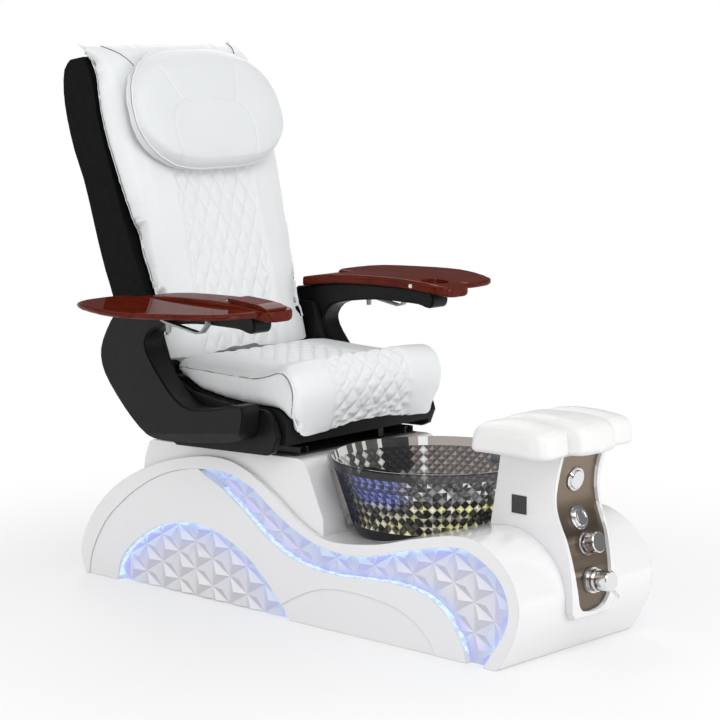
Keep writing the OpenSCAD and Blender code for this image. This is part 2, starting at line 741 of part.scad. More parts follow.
function floor_z(x) = rail_origin_z + seat_floor / cos(rail_slope) + x * tan(rail_slope);
seat_half = seat_w / 2;
back_half = back_w / 2;
pan_half = seat_half - 2;
cover_y = max(seat_half, back_half) + 6;   // inner face of the side covers
seat_under = [[56, 492], [40, 505], [20, 513], [-93, 513], [-169, 519], [-246, 532], [-303, 558], [-325, 562]];
seat_pan = concat([[-325, floor_z(-325)], [56, floor_z(56)]], seat_under);
pan_t = 4;
pin_x = -385;                  // recline axis
pin_z = 505;
rod_z = pin_z - 55;            // the recline rod's height
boss_at = [[-255, 470], [-20, 470]];
module seat_frame() {
  color("gray") difference() {
    union() {
      across(-pan_half, pan_half) polygon(inset(seat_pan, gap));
      for (q = boss_at) translate([q[0], 0, q[1]]) rotate([90, 0, 0])
        cylinder(r = 12, h = 2 * (cover_y - gap), center = true);
    }
    across(pan_t - pan_half, pan_half - pan_t) polygon(inset(seat_pan, gap + pan_t));
    translate([-280, -150, 380]) cube([200, 300, 90]);
    translate([-340, 0, rod_z]) rotate([0, 90, 0]) cylinder(r = 9, h = 40);
  }
}

// Quilted cushion: outline in X-Z, points first to last of it are its face.
// panel is the half-width of the diamond-quilted middle, quilt its index range.
// soft is how far the outline draws in at the two sides.
function cushion_rings(outline, half, panel, face, quilt, drop, puff, soft) = let (
    steps = [for (k = [-4:4]) k * panel / 4],
    wide = [panel + 6, panel + 12, (panel + half) / 2, half - 26, half - 10, half - 3, half],
    draw = [0, 0, 0, 0, 0.12 * soft, 0.45 * soft, soft],
    ys = concat(reversed(wide), reversed(steps), [for (y = wide) -y]),
    n = len(outline))
  [for (i = [0:len(ys) - 1]) let (y = ys[i], out = abs(y),
      side = lookup(out, [for (k = [0:len(wide) - 1]) [wide[k], draw[k]]]),
      fall = drop * pow(max(0, (out - panel) / (half - panel)), 2))
    [for (q = inset_by(outline, [for (j = [0:n - 1])
        side + (j >= face[0] && j <= face[1] ? fall : 0)
        + (j >= quilt[0] && j <= quilt[1]
          ? (out > panel + 1 ? (out < panel + 8 ? puff : 0) : (i + j) % 2 == 0 ? puff : 0) : 0)]))
      [q[0], y, q[1]]]];
module cushion(outline, half, panel, face, quilt, drop, puff, soft, split) {
  loft(cushion_rings(outline, half, panel, face, quilt, drop, puff, soft), true, split);
}

seat_top = reversed(curve([[-325, 568], [-331, 582], [-322, 600], [-295, 606], [-168, 602],
  [-67, 601], [-20, 608], [20, 620], [50, 624], [78, 608], [94, 585], [101, 554], [98, 520],
  [92, 488], [86, 462], [78, 440]], 2));
module seat_cushion() {
  outline = concat(seat_top, [for (q = reversed(concat([[57, 440], [56.8, 470]], seat_under))) q]);
  color("white") cushion(outline, seat_half, 131, [2, len(seat_top) - 1], [2, 13], 7, 4, 8,
    len(seat_top));
}

// ---- side and arm covers --------------------------------------------------

cover_t = 17.4;
side_cover_edge = reversed([[-320, 405], [-400, 470], [-450, 600], [-430, 690], [-365, 690], [-352, 655],
  [-330, 600], [-303, 559], [-250, 533], [-170, 520], [-100, 514], [4, 513], [22, 505], [39, 481],
  [50, 451], [34, 414], [14, 405], [-300, 392]]);
module side_cover(s) {
  color("dimgray") side(s) difference() {
    translate([0, -cover_y, 0]) rotate([90, 0, 0]) stepped_plate(side_cover_edge, cover_t, 2.5);
    translate([pin_x, 0, pin_z]) rotate([90, 0, 0]) cylinder(r = pin_r + gap, h = 400);
  }
}

// Upper line of the arm boards, front to back.
board_line = curve([[118, 759], [60, 768], [-20, 774], [-100, 776], [-250, 772], [-350, 762],
  [-420, 750]], 2);
function board_z(x) = lookup(x, board_line);

arm_y = cover_y + cover_t + gap;
// C-shaped arm: foot, rear upright and the beam under the arm board.
arm_foot = curve([[-50, 525], [-96, 513], [-186, 503], [-237, 522], [-278, 557], [-325, 610],
  [-341, 640], [-338, 660], [-318, 682], [-280, 695], [-230, 703], [-180, 709], [-130, 712],
  [-60, 712], [-15, 711], [6, 706], [24, 704], [34, 711], [38, 726],
  [32, board_z(32) - board_t - gap]], 2);
arm_back = curve([[-440, 724], [-470, 690], [-500, 640], [-508, 600], [-493, 556], [-450, 505],
  [-397, 456], [-344, 421], [-291, 411], [-187, 417], [-98, 428], [-56, 435], [-30, 443], [-14, 460],
  [-6, 490], [-4, 513], [-10, 529]], 2);
arm_edge = concat(arm_foot,
  [for (q = board_line) if (q[0] < 28) [q[0], q[1] - board_t - gap]], arm_back);
arm_slope = atan2(34, 279);    // slope of the foot's underside
module arm_cover(s) {
  color("darkslategray") side(s) difference() {
    translate([0, -arm_y, 0]) rotate([90, 0, 0]) stepped_plate(arm_edge, arm_t, 4);
    // Broad chamfer along the outer lower edge of the foot.
    translate([-345, -arm_y - arm_t, 411 - 54 * tan(arm_slope)]) rotate([0, -arm_slope, 0])
      rotate([90, 0, 90]) linear_extrude(440) polygon([[-2, 21.3], [-2, -60], [47.7, -60]]);
  }
}

// ---- wooden boards and trays ----------------------------------------------

board_y = cover_y - 5;         // inner edge of the boards
board_end = board_y + board_w;
board_nose = 68;               // where the front end's rounded corners begin
nose_r = 30;                   // radius of these corners
// Rounded edge from the top to the underside: inset and depth.
board_side = [[7, 0], [2.5, 1.5], [0, 5.5], [0, 18], [2, 22.5], [7, board_t]];
board_x = concat([-400, -396], [for (q = reversed(board_line)) if (q[0] > -395 && q[0] < board_nose - 5) q[0]],
  [for (a = [0:15:90]) board_nose + nose_r * sin(a)]);

// Cross-section of a board at x as points in Y-Z, drawn in by d at the end.
function board_ring(x, d) = let (
    w = board_w / 2 - d
      - (x < board_nose ? 0 : nose_r * (1 - sqrt(max(0, 1 - pow((x - board_nose) / nose_r, 2))))),
    yc = board_y + board_w / 2, z = board_z(x))
  concat([for (e = board_side) [x, -yc - w + e[0], z - e[1]]],
    [for (e = reversed(board_side)) [x, -yc + w - e[0], z - e[1]]]);

lid_x0 = -35;
lid_x1 = 92;
lid_y = board_y + 30;
lid_w = 68;
lid_t = 9;
pocket_wall = 12;
module arm_board(s) {
  color("saddlebrown") side(s) difference() {
    loft([for (x = board_x) board_ring(x, x < -398 ? 4 : 0)]);
    if (s > 0) translate([cup_x, -cup_y, board_z(cup_x) - 20]) cylinder(r = cup_r, h = 60);
    else translate([lid_x0 + pocket_wall, -lid_y - lid_w + pocket_wall, board_z(lid_x1) - 13])
      cube([lid_x1 - lid_x0 - 2 * pocket_wall, lid_w - 2 * pocket_wall, 60]);
  }
}

cup_x = 22;
cup_y = board_y + 48;
cap_x = -18;
// Screw caps on the inner edges of the boards.
module board_caps() {
  color("silver") for (s = [-1, 1]) side(s)
    translate([cap_x, -board_y + gap, board_z(cap_x) - 14]) rotate([-90, 0, 0])
      cylinder(r1 = 6, r2 = 5, h = 2.6);
}

// Lid of the pocket for the remote control; it follows the board's upper line.
lid_pin = [lid_x0 - 4, board_z(lid_x0 - 4) + 5.8];
lid_pin_r = 1.6;
module remote_lid() {
  lid_line = [for (x = [lid_x0:(lid_x1 - lid_x0) / 6:lid_x1 + 1]) [x, board_z(x)]];
  color("saddlebrown") difference() {
    union() {
      across(-lid_y - lid_w, -lid_y) polygon(reversed(concat(
        [for (q = lid_line) [q[0], q[1] + 1]],
        [for (q = reversed(lid_line)) [q[0], q[1] + 1 + lid_t * (q[0] > lid_x1 - 1 ? 0.6 : 1)]])));
      translate([lid_pin[0], -lid_y - lid_w / 2, lid_pin[1]]) rotate([90, 0, 0]) {
        cylinder(r = 3.4, h = 30, center = true);
        translate([0, -1.5, -15]) cube([6, 3, 30]);
      }
    }
    translate([lid_pin[0], 0, lid_pin[1]]) rotate([90, 0, 0]) cylinder(r = lid_pin_r + run, h = 400);
  }
}

module lid_hinge() {
  color("silver") translate([lid_pin[0], -lid_y - lid_w / 2, 0]) {
    translate([0, 0, lid_pin[1]]) rotate([90, 0, 0]) cylinder(r = lid_pin_r, h = 44, center = true);
    for (s = [-1, 1]) translate([0, s * 18.5, 0]) {
      translate([0, 0, lid_pin[1]]) rotate([90, 0, 0]) cylinder(r = 3.4, h = 6, center = true);
      translate([-3.4, -3, board_z(lid_pin[0]) + 1]) cube([6.8, 6, lid_pin[1] - board_z(lid_pin[0]) - 1]);
    }
    translate([-16, -21.5, board_z(lid_pin[0]) + 0.8]) cube([19.4, 43, 1.2]);
  }
}

tray_z = 752;                  // underside of the trays
hinge_y = board_end + 10;
hinge_z = 738;
hinge_x = [-236, -92];
hinge_pin_r = 4;
knuckle_r = 7.5;
strap_y = [max(board_end - 30, arm_y + arm_t + 1.5), board_end - 5];
module tray_bracket(s) {
  strap = [[-310, board_z(-310) - board_t - 3], [-284, board_z(-284) - board_t - 3], [-264, 713],
    [-250, 709], [-140, 692], [-126, 696], [-108, 716], [-102, board_z(-102) - board_t - 3],
    [-76, board_z(-76) - board_t - 3]];
  color("gray") side(s) {
    across(-strap_y[1], -strap_y[0]) polygon(ribbon(strap, 5));
    translate([-245, -(strap_y[0] + strap_y[1]) / 2, 684]) cylinder(r1 = 6, r2 = 8, h = 26);
    for (x = hinge_x) translate([x - 4, 0, 0]) rotate([90, 0, 90]) linear_extrude(8) union() {
      translate([-hinge_y, hinge_z]) circle(r = knuckle_r);
      translate([-hinge_y, hinge_z - knuckle_r]) square([hinge_y - strap_y[0], knuckle_r + 3]);
    }
    translate([hinge_x[0], -hinge_y, hinge_z]) rotate([0, 90, 0])
      cylinder(r = hinge_pin_r, h = hinge_x[1] - hinge_x[0]);
    // Bars that join the hinge lugs to the strap.
    translate([hinge_x[0] - 52, -strap_y[1], hinge_z - 4]) cube([52, strap_y[1] - strap_y[0], 5]);
    translate([hinge_x[1] - 18, -strap_y[1], hinge_z - 4]) cube([18, strap_y[1] - strap_y[0], 5]);
  }
}

tray_edge = board_end + 2;
tray_plan = reversed(curve([[-366, 0], [-375, 9], [-380, 48], [-376, 100], [-365, 150],
  [-345, tray_reach - 38], [-308, tray_reach - 14], [-255, tray_reach], [-175, tray_reach],
  [-95, tray_reach - 11], [-25, tray_reach - 34], [34, tray_reach - 68], [69, tray_reach - 112],
  [83, 66], [84, 20], [79, 0]], 2));
module tray(s) {
  color("saddlebrown") side(s) translate([0, -tray_edge, tray_z])
    loft([for (e = [[4, 0], [0, 4], [0, tray_t - 5], [3, tray_t - 1.5], [8, tray_t]])
      [for (q = reversed(inset(tray_plan, e[0]))) [q[0], -q[1], e[1]]]]);
}

module tray_leaf(s) {
  a = hinge_x[0] + 4 + run;
  len = hinge_x[1] - hinge_x[0] - 8 - 2 * run;
  color("gray") side(s) translate([a, 0, 0]) difference() {
    union() {
      translate([0, -hinge_y, hinge_z]) rotate([0, 90, 0]) cylinder(r = knuckle_r, h = len);
      translate([0, -hinge_y - 6, hinge_z]) cube([len, 6, tray_z - gap - hinge_z]);
      translate([0, -hinge_y - 46, tray_z - gap - 3]) cube([len, 46, 3]);
    }
    translate([-1, -hinge_y, hinge_z]) rotate([0, 90, 0]) cylinder(r = hinge_pin_r + run, h = len + 2);
  }
}

// ---- recline drive and backrest -------------------------------------------

pin_r = 10;
ear_in = max(pan_half, back_half) + 0.5;
ear_y = [ear_in, ear_in + 4.8];   // the back frame's ears
module recline_pins() {
  color("silver") for (s = [-1, 1]) side(s) translate([pin_x, 0, pin_z]) rotate([90, 0, 0]) {
    translate([0, 0, ear_y[0] - 8]) cylinder(r = pin_r, h = cover_y + cover_t - ear_y[0] + 7);
    translate([0, 0, ear_y[0] - 8]) cylinder(r = pin_r + 5, h = 7.8);
    translate([0, 0, ear_y[1] + run]) cylinder(r = pin_r + 4, h = cover_y - gap - ear_y[1] - run);
  }
}

recline_r = 14;
recline_rod_r = 7;
module recline_actuator() {
  color("dimgray") difference() {
    union() {
      translate([-320, 0, rod_z]) rotate([0, 90, 0]) cylinder(r = recline_r, h = 280);
      translate([-76, -14, floor_z(-40) + pan_t + 0.6]) cube([36, 28, rod_z - floor_z(-40) - pan_t - 0.6]);
    }
    translate([-321, 0, rod_z]) rotate([0, 90, 0]) cylinder(r = recline_rod_r + run, h = 265);
  }
}

cross_pin_r = 4;
module recline_rod() {
  color("silver") {
    translate([pin_x, 0, rod_z]) rotate([0, 90, 0]) cylinder(r = recline_rod_r, h = 200);
    translate([pin_x, 0, rod_z]) rotate([90, 0, 0]) cylinder(r = cross_pin_r, h = 50, center = true);
    translate([pin_x, 0, rod_z]) rotate([90, 0, 0]) cylinder(r = 10, h = 24, center = true);
  }
}

// Line between the black rear shell and the back cushion, bottom to top.
back_seam = curve([[-395, 585], [-403, 660], [-427, 752], [-468, 840], [-512, 940], [-545, 1031],
  [-580, 1119], [-603, 1193], [-615, 1255], [-630, 1300], [-652, 1334]], 1);
back_rear = curve([[-500, 560], [-530, 650], [-552, 737], [-579, 800], [-606, 874], [-628, 943],
  [-656, 1025], [-690, 1097], [-716, 1176], [-728, 1243], [-724, 1300], [-700, 1326]], 2);
shell_edge = reversed(concat([[-440, 550], [-480, 548]], back_rear, reversed(back_seam)));
shell_wall = 5;
module back_shell() {
  color("dimgray") difference() {
    across(-back_half, back_half) polygon(shell_edge);
    across(shell_wall - back_half, back_half - shell_wall) polygon(inset(shell_edge, shell_wall));
    translate([-560, shell_wall - back_half, 500]) cube([170, back_w - 2 * shell_wall, 66]);
  }
}

upright_y = 150;
module back_frame() {
  bar = [-452, 532];
  ear = [[pin_x + 24, pin_z - 8], [pin_x + 12, pin_z + 24], [-430, 600], [-440, 640], [-466, 640],
    [-474, 560], [-474, 516], [-440, 500], [pin_x - 14, pin_z - 24], [pin_x + 14, pin_z - 22]];
  upright = [[-452, 520], [-466, 620], [-490, 737], [-540, 874], [-592, 1025], [-640, 1176]];
  color("gray") {
    for (s = [-1, 1]) side(s) {
      difference() {
        across(-ear_y[1], -ear_y[0]) polygon(ear);
        translate([pin_x, 0, pin_z]) rotate([90, 0, 0]) cylinder(r = pin_r + run, h = 400);
      }
      across(-upright_y - 15, -upright_y + 15) polygon(reversed(ribbon(upright, 24)));
    }
    across(-ear_y[0] - 1, ear_y[0] + 1) translate([bar[0] - 15, bar[1] - 15]) square(30);
    // Levers that the recline rod pushes through their slots.
    for (s = [-1, 1]) side(s) across(-19, -13) difference() {
      polygon([[bar[0], bar[1] - 14], [pin_x - 13, rod_z - 22], [pin_x + 13, rod_z - 22],
        [pin_x + 13, pin_z + 4], [bar[0], bar[1] + 14]]);
      translate([pin_x - 6, rod_z - 15]) square([12, 22]);
    }
  }
}

back_face = curve([[-346, 606], [-360, 650], [-372, 700], [-386, 770], [-400, 828], [-413, 885],
  [-430, 945], [-448, 1010], [-462, 1058], [-475, 1100], [-500, 1175], [-525, 1249], [-552, 1308],
  [-580, 1344], [-612, 1362], [-645, 1367]], 2);
module back_cushion() {
  outline = concat(back_face, [[-658, 1360], [-656, 1345]],
    [for (q = reversed(back_seam)) [q[0] + gap + 0.2, q[1]]], [[-372, 590], [-356, 594]]);
  color("white") cushion(outline, back_half, 131, [0, len(back_face)], [1, 15], 24, 5, 13,
    len(back_face) + 1);
}

// Head pillow on the upper part of the back cushion.
pillow_back = curve([[-462, 1058], [-475, 1100], [-500, 1175], [-525, 1249], [-552, 1308], [-572, 1335]], 2);
pillow_face = curve([[-448, 1050], [-424, 1056], [-406, 1082], [-412, 1120], [-432, 1180], [-458, 1250],
  [-490, 1310], [-530, 1345], [-556, 1350], [-568, 1344]], 2);
pillow_mid = 1197;
function pillow_rear(z) = lookup(z, [for (q = pillow_back) [q[1], q[0]]]);
// Share of the pillow's height that is left at y, for its rounded ends.
function pillow_share(y) = pow(1 - pow(abs(y) / (pillow_w / 2 + 2), 3.2), 0.4545);
module head_pillow() {
  outline = concat(pillow_face, [for (q = reversed(pillow_back)) [q[0] + 1.2, q[1]]]);
  rings = cushion_rings(outline, pillow_w / 2, 150, [1, len(pillow_face) - 2], [-2, -1], 16, 0, 13);
  color("white") loft([for (ring = rings) [for (q = ring) let (
      z = pillow_mid + (q[2] - pillow_mid) * pillow_share(q[1]))
    [q[0] + pillow_rear(z) - pillow_rear(q[2]), q[1], z]]], true, len(pillow_face));
}

base_shell();
base_frame();
levelling_feet();
side_panel(-1);  // side_panel_right
side_panel(1);  // side_panel_left
glow_band(-1);  // glow_band_right
glow_band(1);  // glow_band_left
glow_arch(-1);  // glow_arch_right
glow_arch(1);  // glow_arch_left
led_strips();
footrest_column();
footrest_pad();
control_panel();
button_sleeves();
push_button(upper_button_z);  // upper_button
push_button(lower_button_z);  // lower_button
diverter_body();
diverter_knob();
mixer_body();
mixer_handle();
column_plate();
water_spout();
bowl();
bowl_gasket();
drain_body();
drain_plug();
drain_pipe();
jet_housing();
jet_impeller();
rail_base();
slide_actuator();
slide_rod();
rail_runners();
seat_frame();
seat_cushion();
side_cover(-1);  // side_cover_right
side_cover(1);  // side_cover_left
arm_cover(-1);  // arm_cover_right
arm_cover(1);  // arm_cover_left
arm_board(-1);  // arm_board_right
arm_board(1);  // arm_board_left
board_caps();
tray_bracket(-1);  // tray_bracket_right
tray_bracket(1);  // tray_bracket_left
tray(-1);  // tray_right
tray(1);  // tray_left
tray_leaf(-1);  // tray_leaf_right
tray_leaf(1);  // tray_leaf_left
remote_lid();
recline_pins();
recline_actuator();
recline_rod();
lid_hinge();
back_frame();
back_shell();
back_cushion();
head_pillow();
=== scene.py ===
import json
import math
import bpy
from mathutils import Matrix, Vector
from mathutils.bvhtree import BVHTree


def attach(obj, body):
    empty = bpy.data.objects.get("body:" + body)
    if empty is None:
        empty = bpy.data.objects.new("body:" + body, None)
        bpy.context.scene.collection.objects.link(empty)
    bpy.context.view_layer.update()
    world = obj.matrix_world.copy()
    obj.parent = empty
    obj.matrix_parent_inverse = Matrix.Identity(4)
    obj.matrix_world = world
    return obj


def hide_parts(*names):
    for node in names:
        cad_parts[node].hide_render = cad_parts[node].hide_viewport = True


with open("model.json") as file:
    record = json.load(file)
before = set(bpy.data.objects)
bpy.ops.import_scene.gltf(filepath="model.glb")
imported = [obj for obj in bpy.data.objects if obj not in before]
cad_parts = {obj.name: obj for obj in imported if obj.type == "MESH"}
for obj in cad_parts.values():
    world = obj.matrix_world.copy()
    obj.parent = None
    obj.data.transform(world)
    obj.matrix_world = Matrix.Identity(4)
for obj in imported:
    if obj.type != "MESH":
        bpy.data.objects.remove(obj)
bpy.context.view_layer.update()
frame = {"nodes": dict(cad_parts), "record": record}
cad = frame["nodes"]
bpy.ops.object.select_all(action="DESELECT")


# ---- finishes ---------------------------------------------------------------

class Wire:
    """A value on its way through a finish; arithmetic on it adds the Math nodes."""

    def __init__(self, finish, socket):
        self.finish, self.socket = finish, socket

    def maths(self, operation, *others):
        return self.finish.node("ShaderNodeMath", {"operation": operation},
                                dict(enumerate((self,) + others)))

    def __add__(self, other):
        return self.maths("ADD", other)

    def __sub__(self, other):
        return self.maths("SUBTRACT", other)

    def __rsub__(self, other):
        return self.finish.number(other).maths("SUBTRACT", self)

    def __mul__(self, other):
        return self.maths("MULTIPLY", other)

    def __pow__(self, other):
        return self.maths("POWER", other)

    def __abs__(self):
        return self.maths("ABSOLUTE")

    __radd__, __rmul__ = __add__, __mul__


class Finish:
    """A material under construction, with its Principled shader as .shader."""

    def __init__(self, name, **sockets):
        self.material = bpy.data.materials.new(name)
        self.material.use_nodes = True
        self.tree = self.material.node_tree
        self.shader = self.tree.nodes["Principled BSDF"]
        self.set(self.shader, sockets)

    def set(self, node, sockets):
        for key, value in sockets.items():
            socket = node.inputs[key.replace("_", " ") if isinstance(key, str) else key]
            if isinstance(value, Wire):
                self.tree.links.new(value.socket, socket)
            elif value is not None:
                socket.default_value = value

    def to(self, **sockets):
        self.set(self.shader, sockets)

    def node(self, kind, settings=None, sockets=None, output=0):
        node = self.tree.nodes.new(kind)
        for key, value in (settings or {}).items():
            setattr(node, key, value)
        self.set(node, sockets or {})
        return Wire(self, node.outputs[output])

    def number(self, value):
        return self.node("ShaderNodeMath", {"operation": "ADD"}, {0: float(value), 1: 0.0})

    def place(self, stretch=(1, 1, 1)):
        spot = self.node("ShaderNodeTexCoord", output="Object")
        return self.node("ShaderNodeMapping", {}, {"Vector": spot, "Scale": stretch})

    def axes(self, spot=None):
        spot = spot or self.node("ShaderNodeTexCoord", output="Object")
        split = self.node("ShaderNodeSeparateXYZ", {}, {"Vector": spot}).socket.node
        return [Wire(self, axis) for axis in split.outputs]

    def kept(self, name, output="Color"):
        """What the mesh keeps under that name, point by point or corner by corner."""
        return self.node("ShaderNodeAttribute", {"attribute_name": name}, output=output)

    def ray(self, kind):
        """1 for a ray of that kind, 0 for the others."""
        return self.node("ShaderNodeLightPath", output="Is " + kind + " Ray")

    def noise(self, size, detail=3.0, rough=0.5, stretch=(1, 1, 1)):
        return self.node("ShaderNodeTexNoise", {}, {
            "Vector": self.place(stretch), "Scale": 1 / size, "Detail": detail, "Roughness": rough})

    def between(self, value, low, high, out_low=0.0, out_high=1.0):
        return self.node("ShaderNodeMapRange", {"interpolation_type": "SMOOTHSTEP"},
                         {0: value, 1: low, 2: high, 3: out_low, 4: out_high})

    def clamp(self, value):
        return self.node("ShaderNodeClamp", {}, {0: value})

    def mix(self, factor, one, two):
        one, two = [side if isinstance(side, Wire) else (*side, 1) for side in (one, two)]
        return self.node("ShaderNodeMix", {"data_type": "RGBA"}, {0: factor, 6: one, 7: two}, output=2)

    def bump(self, height, distance, strength=1.0, normal=None):
        return self.node("ShaderNodeBump", {}, {
            "Height": height, "Distance": distance, "Strength": strength, "Normal": normal})

    def round_edges(self, radius):
        return self.node("ShaderNodeBevel", {"samples": 4}, {"Radius": radius})


def rgb(r, g, b):
    return (r, g, b, 1)


def gloss_white(name, colour=(0.80, 0.80, 0.81), rough=0.22, edge=0.003):
    """White moulded shell under a clear coat."""
    f = Finish(name, Base_Color=rgb(*colour), Roughness=rough, Coat_Weight=0.5, Coat_Roughness=0.06)
    cloud = f.noise(0.22, 2.0)
    f.to(Base_Color=f.mix(cloud, [c * 0.985 for c in colour], colour),
         Roughness=f.between(f.noise(0.05, 3.0), 0.3, 0.7, rough - 0.03, rough + 0.04))
    f.to(Normal=f.bump(f.noise(0.09, 1.0), 0.0004, 0.5, f.round_edges(edge)))
    return f.material


def leather(name, colour=(0.80, 0.82, 0.828), grain=0.0016, rough=0.46, quilted=False):
    """Pebbled leather; a quilted one has its sewn lines from the cover's sewing plan."""
    f = Finish(name, Base_Color=rgb(*colour), Roughness=rough, Specular_IOR_Level=0.45)
    pores = f.node("ShaderNodeTexVoronoi", {"feature": "DISTANCE_TO_EDGE"}, {
        "Vector": f.place(), "Scale": 1 / grain})
    soft = f.noise(0.0028, 3.0)
    shade = f.noise(0.12, 3.0)
    f.to(Base_Color=f.mix(shade, [c * 0.965 for c in colour], colour),
         Roughness=f.between(f.noise(0.03, 3.0), 0.3, 0.7, rough - 0.05, rough + 0.06))
    skin = f.bump(pores * 0.5 + soft, 0.00025, 0.5)
    if quilted:
        one, two, panel = f.axes(f.kept("sewing", "Vector"))
        puff, lines, thread = 1.0, 0.0, 0.0
        for across, along in ((one, two), (two, one)):
            off = abs(across.maths("FRACT") - 0.5) * 2.0
            puff = (1.0 - off ** 4.0) * puff
            lines = f.between(off, 0.9, 1.0) + lines
            dash = f.between(abs((along * 9.0).maths("FRACT") - 0.5), 0.1, 0.2)
            thread = f.between(off, 0.955, 0.975) * dash + thread
        skin = f.bump(puff * panel, 0.0016, 0.5, skin)
        skin = f.bump((lines * -1.0 + thread * 0.3) * panel, 0.0007, 0.6, skin)
    f.to(Normal=skin)
    return f.material


def simple(name, colour, rough, metal=0.0, edge=0.001, grain=0.004, **more):
    """Plain metal, rubber or plastic with slightly uneven gloss and eased edges."""
    f = Finish(name, Base_Color=rgb(*colour), Roughness=rough, Metallic=metal, **more)
    f.to(Roughness=f.between(f.noise(grain, 3.0), 0.3, 0.7, rough * 0.85, rough * 1.2),
         Normal=f.round_edges(edge))
    return f.material


def foot_pad(name):
    """Moulded foam skin, satin, with a knurled patch on top of the middle."""
    f = Finish(name, Base_Color=rgb(0.78, 0.78, 0.77), Specular_IOR_Level=0.3)
    x, y, z = f.axes()
    middle_x, middle_y, top = 0.66, 0.02, 0.54
    patch = f.between(abs(y - middle_y), 0.115, 0.1) * f.between(abs(x - middle_x), 0.065, 0.055) \
        * f.between(z, top - 0.005, top)
    knobs = f.node("ShaderNodeTexVoronoi", {}, {
        "Vector": f.place(), "Scale": 140.0, "Randomness": 0.0})
    shade = f.noise(0.1, 2.0)
    f.to(Base_Color=f.mix(shade, (0.76, 0.76, 0.755), (0.79, 0.79, 0.78)),
         Roughness=f.between(f.noise(0.03, 3.0), 0.3, 0.7, 0.36, 0.46),
         Normal=f.bump(f.between(knobs, 0.45, 0.2) * patch, 0.0012, 0.7,
                       f.bump(f.noise(0.0015, 2.0), 0.0001, 0.3)))
    return f.material


def lit_relief(name):
    """White relief under the light of the strips beside it, which each facet keeps as its glow."""
    f = Finish(name, Roughness=0.35, Emission_Strength=1.0)
    # base colour: each facet's painted shade by its tilt, turning dark blue-grey where the painted
    # strip light covers it
    f.to(Base_Color=f.mix(f.kept("glow", "Alpha"), f.kept("painted_light_tone"), (0.10, 0.10, 0.16)),
         Emission_Color=f.kept("glow"), Normal=f.round_edges(0.001))
    return f.material


def strip_light(name):
    """Row of small lamps behind a clear strip."""
    f = Finish(name, Base_Color=rgb(0.25, 0.3, 0.4), Roughness=0.5, Emission_Strength=1.0)
    beads = f.between(f.noise(0.012, 1.0), 0.35, 0.6)
    f.to(Emission_Color=f.mix(beads, (0.36, 0.42, 0.85), (0.55, 0.70, 0.88)))
    return f.material


def lacquered_wood(name):
    """Red-brown wood with its grain along X, under a clear lacquer."""
    f = Finish(name, Specular_IOR_Level=0.0, Coat_Weight=0.28, Coat_Roughness=0.03, Coat_IOR=1.5)
    grain = f.noise(0.004, 5.0, 0.6, (0.06, 1, 1))
    bands = f.noise(0.03, 3.0, 0.5, (0.12, 1, 1))
    dark = f.mix(bands, (0.085, 0.0095, 0.0035), (0.165, 0.018, 0.006))
    f.to(Base_Color=f.mix(f.between(grain, 0.35, 0.75), dark, (0.045, 0.0055, 0.0024)),
         Roughness=f.between(grain, 0.3, 0.7, 0.3, 0.4), Normal=f.round_edges(0.0015))
    return f.material


def moulded_black(name, shade=0.008, rough=0.42, gloss=0.14, coat=0.1):
    """Black moulding with a fine leather-like grain that wears smooth at its edges."""
    f = Finish(name, Base_Color=rgb(shade, shade, shade * 1.1), Specular_IOR_Level=gloss,
               Coat_Weight=coat, Coat_Roughness=0.28, Coat_IOR=1.4)
    cloud = f.noise(0.08, 3.0)
    pebble = f.node("ShaderNodeTexVoronoi", {}, {"Vector": f.place(), "Scale": 1 / 0.0012})
    f.to(Base_Color=f.mix(cloud, [shade * 0.8] * 3, [shade * 1.2, shade * 1.25, shade * 1.4]),
         Roughness=f.between(f.noise(0.02, 4.0), 0.3, 0.7, rough - 0.07, rough + 0.07),
         Normal=f.bump(pebble, 0.00012, 0.4, f.round_edges(0.003)))
    return f.material


def brushed(name, colour, rough=0.32):
    """Metal sheet brushed across, with fine streaks."""
    f = Finish(name, Base_Color=rgb(*colour), Metallic=1.0, Anisotropic=0.4)
    streak = f.noise(0.0007, 3.0, 0.6, (1, 0.02, 1))
    # base colour darker low and lighter towards the top: painted light
    painted_top_light = f.between(f.axes()[2], 0.2, 0.5)
    f.to(Base_Color=f.mix(painted_top_light, [c * 0.85 for c in colour], [c * 1.25 for c in colour]),
         Roughness=f.between(streak, 0.3, 0.7, rough - 0.02, rough + 0.03),
         Normal=f.bump(streak, 0.00001, 0.25, f.round_edges(0.0008)))
    return f.material


def cut_glass(name):
    """Smoked glass, whose facets keep the light that they catch as their glint."""
    f = Finish(name, Base_Color=rgb(0.01, 0.01, 0.012), Roughness=0.04, IOR=1.45,
               Specular_IOR_Level=0.06, Emission_Strength=1.0)
    f.to(Emission_Color=f.kept("glint"), Alpha=f.kept("glint", "Alpha"))
    return f.material


